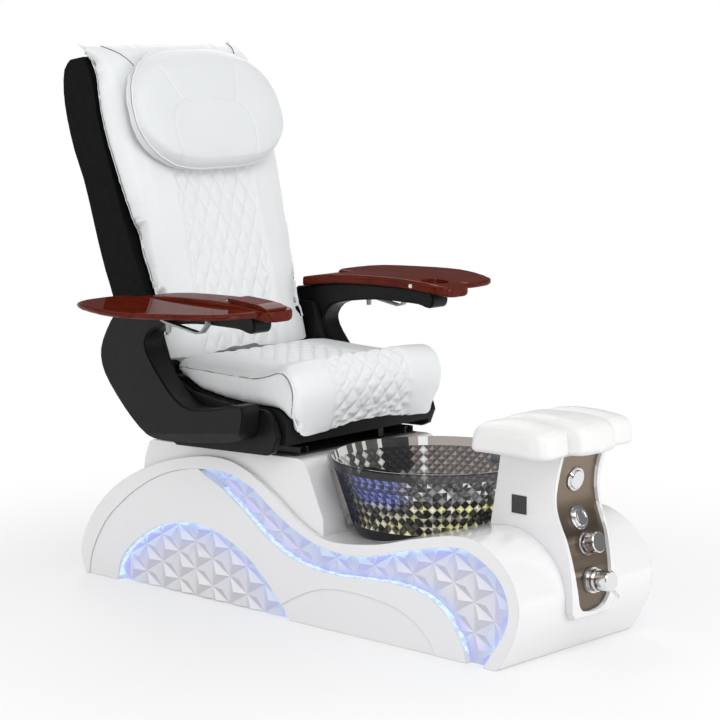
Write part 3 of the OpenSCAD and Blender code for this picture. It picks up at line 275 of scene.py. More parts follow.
finishes = {
    "white_gloss": gloss_white("white_gloss"),
    "pad_white": foot_pad("pad_white"),
    "glow_relief": lit_relief("glow_relief"),
    "led": strip_light("led"),
    "frame_steel": simple("frame_steel", (0.015, 0.015, 0.016), 0.5, 0.2, Specular_IOR_Level=0.2),
    "rail_steel": simple("rail_steel", (0.03, 0.03, 0.032), 0.4, 0.3),
    "rod_steel": simple("rod_steel", (0.035, 0.035, 0.037), 0.35, 1.0),
    "rubber_black": simple("rubber_black", (0.015, 0.015, 0.016), 0.7, Specular_IOR_Level=0.2),
    "bronze_panel": brushed("bronze_panel", (0.225, 0.175, 0.135)),
    "chrome": simple("chrome", (0.8, 0.8, 0.81), 0.08, 1.0),
    # chrome darkened for the spout: painted shade in place of its dark reflections
    "dark_chrome": simple("dark_chrome", (0.3, 0.3, 0.31), 0.15, 1.0),
    "black_plate": simple("black_plate", (0.02, 0.02, 0.022), 0.3),
    "smoked_glass": cut_glass("smoked_glass"),
    "pipe_white": simple("pipe_white", (0.75, 0.75, 0.74), 0.4),
    "black_plastic": moulded_black("black_plastic"),
    "shell_black": moulded_black("shell_black", 0.0045, 0.6, 0.07, 0.0),
    "upholstery": leather("upholstery"),
    "quilted": leather("quilted", quilted=True),
    # a darker copy of the upholstery leather for the pillow: painted shade
    "pillow_leather": leather("pillow_leather", (0.745, 0.765, 0.772)),
    # dark grey strand beside the piping: painted shadow along the seam
    "seam": simple("seam", (0.26, 0.265, 0.27), 0.7, Specular_IOR_Level=0.2),
    "mahogany": lacquered_wood("mahogany"),
    "bracket_steel": simple("bracket_steel", (0.32, 0.33, 0.34), 0.35, 0.9),
}

for piece in cad.values():
    for spot in piece.material_slots:
        spot.material = finishes[spot.material.name.split(".")[0]]


# ---- handling of pieces -------------------------------------------------------

def take(piece):
    bpy.ops.object.select_all(action="DESELECT")
    piece.select_set(True)
    bpy.context.view_layer.objects.active = piece


def body_of(node):
    return next(b for b, names in frame["record"]["behaviour"]["bodies"].items() if node in names)


def slot_of(node):
    return next(p["material_slot"] for p in frame["record"]["subparts"] if p["node"] == node)


def merged(node, name):
    """A welded copy of a construction piece, to be worked on."""
    piece = bpy.data.objects.new(name, cad[node].data.copy())
    bpy.context.scene.collection.objects.link(piece)
    take(piece)
    bpy.ops.object.mode_set(mode="EDIT")
    bpy.ops.mesh.select_all(action="SELECT")
    bpy.ops.mesh.remove_doubles(threshold=0.00003)
    bpy.ops.object.mode_set(mode="OBJECT")
    return piece


def hand_over(piece, *nodes, finish=None):
    """Lets a finished piece stand for its construction pieces."""
    slot = slot_of(nodes[0])
    piece.data.materials.clear()
    piece.data.materials.append(finishes[finish or slot])
    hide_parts(*nodes)
    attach(piece, body_of(nodes[0]))
    return piece


def smoothed(node, angle=32, finish=None, shape=None):
    """A welded skin whose flat faces stay flat and whose curves run smoothly."""
    piece = merged(node, node + "_skin")
    if shape:
        shape(piece)
    bpy.ops.object.mode_set(mode="EDIT")
    bpy.ops.mesh.select_all(action="SELECT")
    bpy.ops.mesh.dissolve_limited(angle_limit=math.radians(0.6))
    bpy.ops.object.mode_set(mode="OBJECT")
    bpy.ops.object.shade_smooth_by_angle(angle=math.radians(angle))
    weigh = piece.modifiers.new("flats", "WEIGHTED_NORMAL")
    weigh.keep_sharp, weigh.weight = True, 60
    bpy.ops.object.modifier_apply(modifier="flats")
    return hand_over(piece, node, finish=finish)


def tube(name, points, radius, closed=False, taper=None):
    """Round strand through the points, as a mesh; taper holds each point's share of the radius."""
    curve = bpy.data.curves.new(name, "CURVE")
    curve.dimensions = "3D"
    curve.bevel_depth, curve.bevel_resolution = radius, 2
    curve.use_fill_caps = not closed
    line = curve.splines.new("POLY")
    line.points.add(len(points) - 1)
    for index, (spot, p) in enumerate(zip(line.points, points)):
        spot.co = (*p, 1)
        spot.radius = taper[index] if taper else 1.0
    line.use_cyclic_u = closed
    piece = bpy.data.objects.new(name, curve)
    bpy.context.scene.collection.objects.link(piece)
    take(piece)
    bpy.ops.object.convert(target="MESH")
    piece = bpy.context.active_object
    bpy.ops.object.shade_smooth()
    return piece


def near_line(x, z, line):
    """Distance from a point to a polyline, the length run to there and the way to it."""
    best, run = (1e9, 0, (0, 0)), 0.0
    for (ax, az), (bx, bz) in zip(line, line[1:]):
        dx, dz = bx - ax, bz - az
        length = math.hypot(dx, dz)
        t = max(0.0, min(1.0, ((x - ax) * dx + (z - az) * dz) / (length * length)))
        px, pz = ax + t * dx - x, az + t * dz - z
        d = math.hypot(px, pz)
        if d < best[0]:
            best = (d, run + t * length, (px / (d or 1), pz / (d or 1)))
        run += length
    return best


def metres(line):
    return [(a / 1000, b / 1000) for a, b in line]


def smooth_step(low, high, value):
    t = max(0.0, min(1.0, (value - low) / (high - low)))
    return t * t * (3 - 2 * t)


def groove(distance, half_width):
    """1 in the middle of a sewn line, 0 beyond its half width."""
    t = min(1.0, abs(distance) / half_width)
    return (1 - t * t) ** 2


# ---- upholstery ------------------------------------------------------------------

swell_frames = 20                    # length of the cloth simulation
filling_pressure, cover_stiffness, cover_mass = 4, 12, 0.3


def stuffed(node, name, voxel, start, cap, proud, ease=6):
    """A cushion blown up inside its cover and held within its construction form.

    The cover starts as a mesh of that voxel size at the depth start within the form, and no point
    swells by more than cap. proud(spot, normal) is how far it may stand over the form at a spot.
    """
    shape = merged(node, name)
    form = BVHTree.FromObject(shape, bpy.context.evaluated_depsgraph_get())
    bpy.ops.object.mode_set(mode="EDIT")
    bpy.ops.mesh.select_all(action="SELECT")
    bpy.ops.transform.shrink_fatten(value=-start)
    bpy.ops.object.mode_set(mode="OBJECT")
    remesh = shape.modifiers.new("cover", "REMESH")
    remesh.mode, remesh.voxel_size, remesh.use_smooth_shade = "VOXEL", voxel, True
    bpy.ops.object.modifier_apply(modifier="cover")
    rest = [v.co.copy() for v in shape.data.vertices]
    cloth = shape.modifiers.new("filling", "CLOTH")
    cloth.settings.quality = 4
    cloth.settings.mass = cover_mass
    cloth.settings.tension_stiffness = cover_stiffness
    cloth.settings.compression_stiffness = cover_stiffness
    cloth.settings.use_pressure = True
    cloth.settings.uniform_pressure_force = filling_pressure
    cloth.settings.effector_weights.gravity = 0
    cloth.collision_settings.use_self_collision = False
    cloth.point_cache.frame_start, cloth.point_cache.frame_end = 1, swell_frames
    for step in range(1, swell_frames + 1):
        bpy.context.scene.frame_set(step)
    take(shape)
    bpy.ops.object.modifier_apply(modifier="filling")
    bpy.context.scene.frame_set(1)
    for vertex, was in zip(shape.data.vertices, rest):
        way = vertex.co - was
        if way.length > cap:
            vertex.co = was + way * (cap / way.length)

    def fit(slack, share):
        """Brings the cover to between its limit and slack below it, from below only by a share."""
        for vertex in shape.data.vertices:
            spot, normal, _, _ = form.find_nearest(vertex.co)
            over = (vertex.co - spot).dot(normal)
            limit = proud(spot, normal)
            if over > limit:
                vertex.co = vertex.co - normal * (over - limit)
            elif over < limit - slack:
                vertex.co = vertex.co - normal * (over - limit + slack) * share

    def ease_out(times):
        bpy.ops.object.mode_set(mode="EDIT")
        bpy.ops.mesh.select_all(action="SELECT")
        bpy.ops.mesh.vertices_smooth(factor=0.5, repeat=times)
        bpy.ops.object.mode_set(mode="OBJECT")

    for slack, share, times in ((0.006, 1.0, ease), (0.001, 0.9, 3), (0.001, 0.7, 1)):
        fit(slack, share)
        ease_out(times)
    bpy.ops.object.mode_set(mode="EDIT")
    bpy.ops.mesh.select_all(action="SELECT")
    bpy.ops.mesh.subdivide(number_cuts=1, smoothness=1)
    bpy.ops.object.mode_set(mode="OBJECT")
    bpy.ops.object.shade_smooth()
    return shape


def press(shape, depth):
    """Pushes each point in along its normal by depth(point, normal)."""
    normals = [v.normal.copy() for v in shape.data.vertices]
    for vertex, normal in zip(shape.data.vertices, normals):
        d = depth(vertex.co, normal)
        if d:
            vertex.co -= normal * d
    shape.data.update()


def onto(shape, points, lift):
    """Points brought to a cushion's surface and lifted off it."""
    tree = BVHTree.FromObject(shape, bpy.context.evaluated_depsgraph_get())
    out = []
    for p in points:
        spot, normal, _, _ = tree.find_nearest(Vector(p))
        out.append(spot + normal * lift)
    return out


back_plan = (0.0437, 0.5, 0.5)       # pitch across, lean of the two sets of sewn lines
seat_plan = (0.048, 1.05, 0.6)


def sewn(y, run, plan):
    """Place in the two sets of sewn lines, counted in lines."""
    pitch, lean, back = plan
    return (y - lean * run) / pitch, (y + back * run) / pitch


# Outlines of the cushions' fronts in side view, (x, z) in mm, from the foot up or the front back.
seat_line = metres([(78, 440), (86, 462), (92, 488), (98, 520), (101, 554), (99, 570), (94, 585),
                    (87, 597), (78, 608), (65, 618), (50, 624), (36, 624), (20, 620), (1, 614),
                    (-20, 608), (-40, 604), (-67, 601), (-168, 602), (-295, 606), (-322, 600),
                    (-331, 582)])
back_line = metres([(-346, 606), (-360, 650), (-372, 700), (-386, 770), (-400, 828), (-413, 885),
                    (-430, 945), (-448, 1010), (-462, 1058), (-475, 1100), (-500, 1175),
                    (-525, 1249), (-552, 1308), (-566, 1329), (-580, 1344), (-612, 1362),
                    (-645, 1367)])
back_rear = metres([(-462, 1058), (-475, 1100), (-500, 1175), (-525, 1249), (-552, 1308),
                    (-572, 1335)])
seat_half, back_half = 0.264, 0.262  # half widths of the cushions
panel = 0.131                        # half width of the quilted panels
puff_depth, panel_seam_depth = 0.0024, 0.0014


def cushion_plan(shape, line, near, half, first, last, plan):
    """Presses the quilted middle panel and its two seams, and keeps the sewing plan.

    The front lies within near of the line; the quilting runs from first to last along it.
    """
    places = []

    def depth(p, n):
        d, run, _ = near_line(p.x, p.z, line)
        one, two = sewn(p.y, run, plan)
        y = abs(p.y)
        in_front = d < near and y < half - 0.012
        mask = 0.0
        if in_front:
            mask = smooth_step(panel + 0.001, panel - 0.005, y) \
                * smooth_step(first - 0.004, first + 0.004, run) \
                * smooth_step(last + 0.004, last - 0.004, run)
        places.append((one, two, mask))
        if not in_front:
            return 0.0
        puff = 1.0
        for count in (one, two):
            off = 2 * (count - math.floor(count)) - 1
            puff *= 0.5 + 0.5 * math.cos(math.pi * off * off)
        return max(puff_depth * (1 - puff) * mask, panel_seam_depth * groove(y - panel, 0.007))
    press(shape, depth)
    sewing = shape.data.attributes.new("sewing", "FLOAT_VECTOR", "POINT")
    for spot, place in zip(sewing.data, places):
        spot.vector = place


# Where the back's cover ends on the shell, in side view, and its zips and the pillow's seams.
shell_line = metres([(-403, 660), (-427, 752), (-468, 840), (-512, 940), (-545, 1031),
                     (-580, 1119), (-603, 1193), (-615, 1255), (-630, 1300), (-652, 1334)])
zip_path = ((-0.634, 0.222, 1.372), (-0.6, 0.214, 1.36), (-0.578, 0.196, 1.345),
            (-0.556, 0.176, 1.318), (-0.54, 0.166, 1.29))
zip_line = [(y, z) for x, y, z in zip_path]
horseshoe = [(0, 1.232), (0.05, 1.231), (0.09, 1.224), (0.118, 1.208), (0.133, 1.185),
             (0.138, 1.155), (0.133, 1.11), (0.128, 1.04)]
short_seam = [(0.096, 1.232), (0.112, 1.27), (0.131, 1.312)]


def rear_x(z):
    """Where the pillow's back lies at the height z."""
    for (ax, az), (bx, bz) in zip(back_rear, back_rear[1:]):
        if z <= bz:
            break
    return ax + (bx - ax) * (z - az) / (bz - az)


def dense(points, step):
    """The points with others set in between, and the corners eased."""
    out = []
    for p, q in zip(points, points[1:]):
        p, q = Vector(p), Vector(q)
        n = max(1, round((q - p).length / step))
        out += [p.lerp(q, k / n) for k in range(n)]
    out.append(Vector(points[-1]))
    for _ in range(3):
        out = [out[0]] + [(a + b + c) / 3 for a, b, c in zip(out, out[1:], out[2:])] + [out[-1]]
    return out


def strand(name, points, radius, node, finish="upholstery", closed=False, taper=None):
    """Piping, cord or zip sewn on a cushion, or a dark strand that is painted shadow along a seam."""
    piece = tube(name, points, radius, closed, taper=taper)
    piece.data.materials.clear()
    piece.data.materials.append(finishes[finish])
    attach(piece, body_of(node))
    return piece


def seat_cushion():
    under, rear = -0.4, -0.6             # how far a normal points down or back on those faces

    def proud(spot, normal):
        if normal.x < rear and spot.z > 0.572:
            return 0.006
        return -0.0006 if normal.z < under or normal.x < rear else 0.002
    shape = stuffed("seat_cushion", "seat_cushion_leather", 0.0055, 0.007, 0.022, proud, 10)
    right_tuck, left_tuck = 0.011, 0.028  # how far the front's lower corners draw in
    for vertex in shape.data.vertices:
        p = vertex.co
        low = smooth_step(0.535, 0.435, p.z) ** 1.5 * smooth_step(-0.02, 0.05, p.x)
        side = smooth_step(0.17, 0.266, abs(p.y))
        p.y -= math.copysign((left_tuck if p.y > 0 else right_tuck) * low * side, p.y)

    def depth(p, n):
        d = near_line(p.x, p.z, seat_line)[0]
        if abs(p.y) > seat_half - 0.02 and d > 0.014:
            pucker = math.sin(p.x * 210) * math.sin(p.z * 60 + p.x * 31)
            return 0.0006 * max(0.0, pucker) * smooth_step(0.014, 0.024, d)
        return 0.0
    press(shape, depth)
    cushion_plan(shape, seat_line, 0.022, seat_half, 0.012, 0.62, seat_plan)
    hand_over(shape, "seat_cushion", finish="quilted")
    inset, drop, front = 0.013, 0.0045, 0.03
    for side, name in ((-1, "right"), (1, "left")):
        line = []
        for (ax, az), (bx, bz) in zip(seat_line, seat_line[1:]):
            length = math.hypot(bx - ax, bz - az)
            nx, nz = (az - bz) / length, (bx - ax) / length
            line.append(((ax + bx) / 2 + nx * inset, side * (seat_half + 0.01),
                         (az + bz) / 2 + nz * inset))
        line = dense(line, 0.006)
        strand("seat_piping_" + name, onto(shape, line, 0.0006), 0.0022, "seat_cushion")
        # A dark grey strand just below each piping: painted shadow along its seam.
        low = [(x - drop * (x > front), y, z - drop) for x, y, z in line]
        strand("seat_seam_" + name, onto(shape, low, 0.0012), 0.0012, "seat_cushion", "seam")


def back_cushion():
    rear, under = -0.5, -0.5             # how far a normal points back or down on those faces
    arms_top, clear_of_arms = 0.84, 0.92

    def proud(spot, normal):
        if normal.x < rear or normal.z < under:
            return -0.0006
        ahead = smooth_step(0.004, 0.034, near_line(spot.x, spot.z, shell_line)[0])
        above = smooth_step(arms_top, clear_of_arms, spot.z)
        return 0.002 + 0.007 * abs(normal.y) * ahead * above
    shape = stuffed("back_cushion", "back_cushion_leather", 0.006, 0.008, 0.024, proud, 10)
    tip_x, tip_y, tip_z, tip_reach = -0.670, 0.270, 1.372, 0.115
    for vertex in shape.data.vertices:
        p = vertex.co
        low = 0.021 + 0.009 * smooth_step(0.24, 0.1, abs(p.y))
        p.z -= low * smooth_step(0.66, 0.614, p.z)
        tip = Vector((tip_x, math.copysign(tip_y, p.y), tip_z))
        pull = max(0.0, 1 - (tip - p).length / tip_reach)
        vertex.co = p.lerp(tip, 0.95 * pull ** 1.15)

    def depth(p, n):
        if near_line(p.x, p.z, back_line)[0] < 0.03 and abs(p.y) < back_half - 0.014:
            zipped = groove(near_line(abs(p.y), p.z, zip_line)[0], 0.005)
            return 0.003 * zipped if p.z > 1.2 else 0.0
        if abs(p.y) > back_half - 0.03 and p.z < 1.3:
            d = near_line(p.x, p.z, shell_line)[0]
            share = smooth_step(0.87, 0.99, p.z) * smooth_step(1.26, 1.1, p.z)
            return groove(d - 0.021, 0.015) * 0.006 * share
        return 0.0
    press(shape, depth)
    cushion_plan(shape, back_line, 0.03, back_half, 0.0, 0.47, back_plan)
    hand_over(shape, "back_cushion", finish="quilted")
    for side, name in ((-1, "right"), (1, "left")):
        line = dense([(x + 0.007, side * (back_half + 0.01), z) for x, z in shell_line], 0.01)
        strand("back_piping_" + name, onto(shape, line, 0.0004), 0.0024, "back_cushion")
        # A dark grey strand beside each piping: painted shadow along its seam.
        line = [(x + 0.004, y, z) for x, y, z in line]
        strand("back_seam_" + name, onto(shape, line, 0.0006), 0.0012, "back_cushion", "seam")
        line = dense([(x, side * y, z) for x, y, z in zip_path], 0.006)
        strand("back_zip_" + name, onto(shape, line, 0.0002), 0.0011, "back_cushion",
               "rubber_black")


def cover_lip():
    """Rolled edge of the cover over the shell's top, drawn out to a point at each end."""
    line = dense([(-0.667, -0.265, 1.3655), (-0.655, -0.245, 1.3515), (-0.648, -0.20, 1.3465),
                  (-0.646, 0.0, 1.3475), (-0.648, 0.20, 1.3465), (-0.655, 0.245, 1.3515),
                  (-0.667, 0.265, 1.3655)], 0.008)
    taper = [smooth_step(0.268, 0.215, abs(p.y)) * 0.85 + 0.15 for p in line]
    piece = strand("back_cover_lip", line, 0.0115, "back_cushion", taper=taper)


def head_pillow():
    seam_shift = 0.02                    # how far the seams lie right of the middle

    def proud(spot, normal):
        return -0.0006 if normal.x < -0.5 else 0.002
    shape = stuffed("head_pillow", "head_pillow_leather", 0.004, 0.005, 0.016, proud)

    def depth(p, n):
        if n.x < 0.15:
            return 0.0
        y = p.y + seam_shift
        d = min(near_line(abs(y), p.z, horseshoe)[0], near_line(abs(y), p.z, short_seam)[0])
        dip = 0.002 * groove(p.y, 0.03) * groove(p.z - 1.085, 0.05)
        return groove(d, 0.0065) * 0.0034 + dip
    press(shape, depth)
    # the pillow takes a darker copy of the leather: painted shade
    hand_over(shape, "head_pillow", finish="pillow_leather")
    steps, half_wide, half_high, middle_z = 96, 0.255, 0.158, 1.197
    for name, forward in (("front", 0.036), ("rear", 0.008)):
        ring = []
        for k in range(steps):
            a = 2 * math.pi * k / steps
            c, s = math.cos(a), math.sin(a)
            y = half_wide * math.copysign(abs(c) ** 0.66, c)
            z = middle_z + half_high * math.copysign(abs(s) ** 0.8, s)
            ring.append((rear_x(z) + forward, y, z))
        strand("pillow_piping_" + name, onto(shape, ring, 0.0004), 0.0024, "head_pillow",
               closed=True)
        # A dark grey strand beside each piping: painted shadow along its seam.
        ring = [(x - 0.0042, y, z) for x, y, z in ring]
        strand("pillow_seam_" + name, onto(shape, ring, 0.0006), 0.0011, "head_pillow", "seam",
               closed=True)


def footrest_pad():
    def proud(spot, normal):
        return -0.0004 if normal.z < -0.4 else 0.0015
    shape = stuffed("footrest_pad", "footrest_pad_skin", 0.004, 0.003, 0.008, proud)
    hand_over(shape, "footrest_pad")


seat_cushion()
back_cushion()
cover_lip()
head_pillow()
footrest_pad()


# ---- glowing reliefs --------------------------------------------------------------

# Edges along which the light strips run, in side view, (x, z) in mm.
rim_line = metres([(652, 0), (677, 38), (695, 62), (712, 90), (722, 117), (724, 142), (720, 166),
                   (710, 189), (696, 208), (676, 226), (651, 241), (620, 254), (589, 261),
                   (556, 261), (513, 253), (463, 241), (409, 228), (355, 213), (308, 201),
                   (266, 194), (224, 192), (180, 195), (135, 203), (90, 218), (45, 238), (0, 262),
                   (-46, 292), (-93, 317), (-140, 332), (-180, 336), (-222, 335), (-265, 331)])
fender_line = metres([(601, 0), (593, 33), (579, 57), (558, 84), (533, 107), (504, 125),
                      (474, 137), (440, 144), (400, 147), (352, 146), (299, 143), (254, 139),
                      (211, 137), (168, 138), (123, 141), (79, 148), (34, 161), (-12, 183),
                      (-58, 212), (-105, 246), (-158, 279), (-203, 303), (-236, 316),
                      (-257, 327), (-281, 336)])
arch_line = metres([(46, 0), (16, 35), (-20, 73), (-57, 107), (-88, 130), (-128, 152),
                    (-177, 173), (-225, 186), (-274, 191), (-323, 188), (-373, 178),
                    (-419, 161), (-459, 140), (-502, 110), (-536, 81), (-557, 51), (-567, 13),
                    (-570, 0)])

strip_colour, haze_colour = (0.58, 0.80, 0.92), (0.40, 0.38, 0.95)


def glow_piece(node, lights):
    """Relief whose facets carry the colour that the light strips throw on them.

    lights holds each strip's line, its strength, and how far its light reaches.
    """
    piece = merged(node, node + "_lit")
    bpy.ops.object.mode_set(mode="EDIT")
    bpy.ops.mesh.select_all(action="SELECT")
    bpy.ops.mesh.subdivide(number_cuts=2)
    bpy.ops.object.mode_set(mode="OBJECT")
    glow = piece.data.color_attributes.new("glow", "FLOAT_COLOR", "CORNER")
    painted_light_tone = piece.data.color_attributes.new("painted_light_tone", "FLOAT_COLOR", "CORNER")
    for face in piece.data.polygons:
        # each facet's grey is painted shade, lighter the more the facet faces up and towards the front
        tilt = Vector((face.normal.x, face.normal.z))
        painted_facet_shade = 0.68 + 0.38 * (0.35 * tilt.x + 0.8 * tilt.y)
        painted_facet_shade = max(0.5, min(0.84, painted_facet_shade))
        for corner in face.loop_indices:
            p = piece.data.vertices[piece.data.loops[corner].vertex_index].co
            bright = haze = 0.0
            for line, strength, reach in lights:
                d, _, way = near_line(p.x, p.z, line)
                near = strength * math.exp(-max(0.0, d - 0.002) / reach)
                facing = max(-1.0, min(1.0, 2.6 * (tilt.x * way[0] + tilt.y * way[1])))
                bright = max(bright, near * near * (0.75 + 0.5 * facing))
                haze = max(haze, near * (0.62 - 0.38 * facing))
            bright, haze = min(1.0, bright), min(1.0, haze)
            cover = min(1.0, bright * 1.1 + haze * 1.2)
            colour = [s * bright + h * haze * (1 - bright)
                      for s, h in zip(strip_colour, haze_colour)]
            glow.data[corner].color = (*colour, cover)
            painted_light_tone.data[corner].color = (painted_facet_shade, painted_facet_shade, painted_facet_shade * 1.02, 1)
    hand_over(piece, node)


for hand in ("right", "left"):
    glow_piece("glow_band_" + hand, ((rim_line, 1.0, 0.034), (fender_line, 0.75, 0.02)))
    glow_piece("glow_arch_" + hand, ((arch_line, 1.0, 0.036),))


# ---- foot bowl ----------------------------------------------------------------------

def chance(*numbers):
    """A fixed number from 0 to 1 for a facet's place."""
    value = math.sin(sum(n * k for n, k in zip(numbers, (12.9898, 78.233, 37.719)))) * 43758.5453
    return value - math.floor(value)


bowl_x = 0.295                       # the bowl's axis
half_columns, half_rows = 128, 12    # half diamonds round the wall and up it
wall_foot, wall_top = 0.25, 0.382    # heights that the diamonds lie between
row_height = (wall_top - wall_foot) / half_rows
facet_depth = 0.0024
front = -49                          # bearing of the side that is seen from outside


def bowl_wall(z):
    """Radius of the wall's outside at the height z."""
    return 0.250 - 0.32 * (0.404 - z)


def cell(point):
    """Half row and half column of the wall's grid that a point lies at."""
    turn = math.atan2(point.y, point.x - bowl_x) / (2 * math.pi)
    return round((point.z - wall_foot) / row_height), round(turn * half_columns) % half_columns


def valley(point, rows):
    """Whether a point of the uncut wall lies where diamonds meet, in one of the half rows."""
    row, column = cell(point)
    on_wall = abs(math.hypot(point.x - bowl_x, point.y) - bowl_wall(point.z)) < 0.0005
    return on_wall and row in rows and (row + column) % 2 == 1


def pick(piece, wanted):
    """Selects the points of the piece under work that wanted(point) names, in edit mode."""
    bpy.ops.mesh.select_mode(type="VERT")
    bpy.ops.mesh.select_all(action="DESELECT")
    bpy.ops.object.mode_set(mode="OBJECT")
    for vertex in piece.data.vertices:
        vertex.select = wanted(vertex.co)
    bpy.ops.object.mode_set(mode="EDIT")


def scale_round(ratio):
    """Draws the selected ring in to the bowl's axis."""
    bpy.ops.transform.resize(value=(ratio, ratio, 1), center_override=(bowl_x, 0, 0))


def cut_bowl():
    """The bowl as a turned form whose wall is cut into rows of small raised diamonds."""
    under = [(0.0215, 0.215), (0.1705, 0.215), (0.1795, 0.2165), (0.187, 0.221), (0.1925, 0.229),
             (0.1965, 0.238)]
    wall = [(bowl_wall(z), z) for z in
            [wall_foot + row_height * row for row in range(half_rows + 1)]]
    lip = [(0.2489, 0.4), (0.2488, 0.4025), (0.2478, 0.404), (0.2443, 0.404), (0.2425, 0.4025),
           (0.2415, 0.4)]
    inside = [(0.2215, 0.337), (0.2007, 0.275), (0.1911, 0.245), (0.1865, 0.235), (0.18, 0.229),
              (0.1655, 0.223), (0.0215, 0.223)]
    (radius, height), *profile = under + wall + lip + inside
    bpy.ops.object.select_all(action="DESELECT")
    bpy.ops.mesh.primitive_circle_add(vertices=half_columns, radius=radius, calc_uvs=False,
                                      location=(bowl_x, 0, height))
    piece = bpy.context.active_object
    piece.name = piece.data.name = "bowl_cut_glass"
    bpy.ops.object.transform_apply(location=True)
    bpy.ops.object.mode_set(mode="EDIT")
    bpy.ops.mesh.select_all(action="SELECT")
    for next_radius, next_height in profile:
        rise = (0, 0, next_height - height)
        bpy.ops.mesh.extrude_region_move(TRANSFORM_OT_translate={"value": rise})
        scale_round(next_radius / radius)
        radius, height = next_radius, next_height
    bpy.ops.mesh.select_all(action="DESELECT")
    bpy.ops.mesh.select_non_manifold()
    bpy.ops.mesh.bridge_edge_loops()

    pick(piece, lambda point: valley(point, range(half_rows + 1)))
    bpy.ops.mesh.vert_connect()
    for row in range(1, half_rows):
        pick(piece, lambda point: valley(point, (row,)))
        scale_round(1 - facet_depth / bowl_wall(wall_foot + row_height * row))
    bpy.ops.mesh.select_all(action="SELECT")
    bpy.ops.mesh.normals_make_consistent(inside=False)
    bpy.ops.object.mode_set(mode="OBJECT")
    bpy.ops.object.shade_smooth_by_angle(angle=math.radians(5))
    return piece


def far_light(turn, upper, right, luck, spark):
    """Light in a facet on the far side, by its bearing from 0 to 360 degrees."""
    if 164 < turn < 212:                # the lamps, broken up
        bright = 0.75 if chance(round(turn / 2.8), 7) > 0.5 else 0.1
        return [bright * (0.7 + 0.5 * luck) * c for c in (1.0, 0.99, 0.94)]
    if 145 < turn < 164:                # nearly black
        return [0.03 + 0.25 * (spark > 0.85)] * 3
    if 135.5 < turn < 139.5:            # one column in full light
        return [0.95, 0.95, 0.93]
    level = (0.42 if upper else 0.17) * (1.0 if right else 0.62) * (0.8 + 0.4 * luck)
    return [level * c for c in (1.0, 0.88, 0.82)]


row_light = (1.0, 0.1, 0.75, 0.03, 0.6, 0.04, 1.0, 0.05, 0.3, 0.14, 0.3, 0.12, 0.2)
facet_glow = (0.10, 0.75, 0.32, 0.16)
violet = (0.30, 0.35, 1.0)
dim_row = 7                             # the half rows above this one have no warm light


def near_light(angle, facing, row, upper, right, luck, spark):
    """Light in a facet on the near side: warm below, violet towards the left and dark at its end."""
    side = 1.0 if luck > 0.42 else 0.4 if luck > 0.18 else 0.05
    level = row_light[row] * (0.12 if spark < 0.14 else 1.0) * side
    warm = 0.0 if row > dim_row else 0.75 if spark > 0.55 else 0.35
    painted_light_tone = (1.0, 0.98 - 0.05 * warm, 0.97 - 0.7 * warm)
    if row > dim_row and luck > 0.93:
        level = 0.9
    blue = smooth_step(-114, -100, angle) * smooth_step(-60, -76, angle) \
        * smooth_step(4.5, 7.5, row)
    glow = facet_glow[(upper * 2 + right + row) % 4] * (0.7 + 0.6 * luck)
    painted_light_tone = [a * (1 - blue) + b * blue for a, b in zip(painted_light_tone, violet)]
    level = level * (1 - blue) + glow * blue
    left = smooth_step(-96, -116, angle)
    edge = smooth_step(0.30, 0.8, facing)
    level *= (1 - 0.94 * left * (spark < 0.93)) * (0.1 + 0.9 * edge)
    haze = 0.05 * smooth_step(7.5, 9, row) * (1 - left)
    base = [0.005 + haze, 0.005 + haze, 0.007 + haze + 0.016 * left]
    return [min(0.97, level * c) + d for c, d in zip(painted_light_tone, base)]


def facet_light(angle, row, upper, right, luck, spark):
    """Light in a facet of a diamond, by its bearing, its half row and its two fixed chances."""
    facing = math.cos(math.radians(angle - front))
    if facing < 0.05:
        return far_light(angle % 360, upper, right, luck, spark)
    return near_light(angle, facing, row, upper, right, luck, spark)


def plain_light(angle, height, up, outward):
    """Light and cover of a face of the rim, the floor or the inside, by where it lies."""
    facing = math.cos(math.radians(angle - front))
    if outward > 0.2 and height > wall_top + 0.001:
        if facing < 0:
            lamps = 164 < angle % 360 < 212
            light = facet_light(angle, 6, True, not lamps, 0.5 + 0.3 * lamps, 0.5)
            return (*[v * (0.8 if lamps else 0.95) for v in light], 0.96)
        left = smooth_step(-85, -110, angle) if facing > 0 else 0.0
        shade = 0.055 * (1 - left) + 0.008 if height < 0.4 else 0.012
        return (shade, shade, shade * 1.03, 0.66 + 0.3 * left)
    if outward < -0.2:
        return (0.004, 0.004, 0.004, 0.1)
    if height > 0.39:
        bright = 0.5 if facing > 0 and chance(round(angle / 7), 3) > 0.35 else 0.1
        return (bright, bright, bright, 0.95)
    if up > 0.5:
        return (0.03, 0.029, 0.028, 0.9)
    return (0.012, 0.012, 0.014, 0.96)


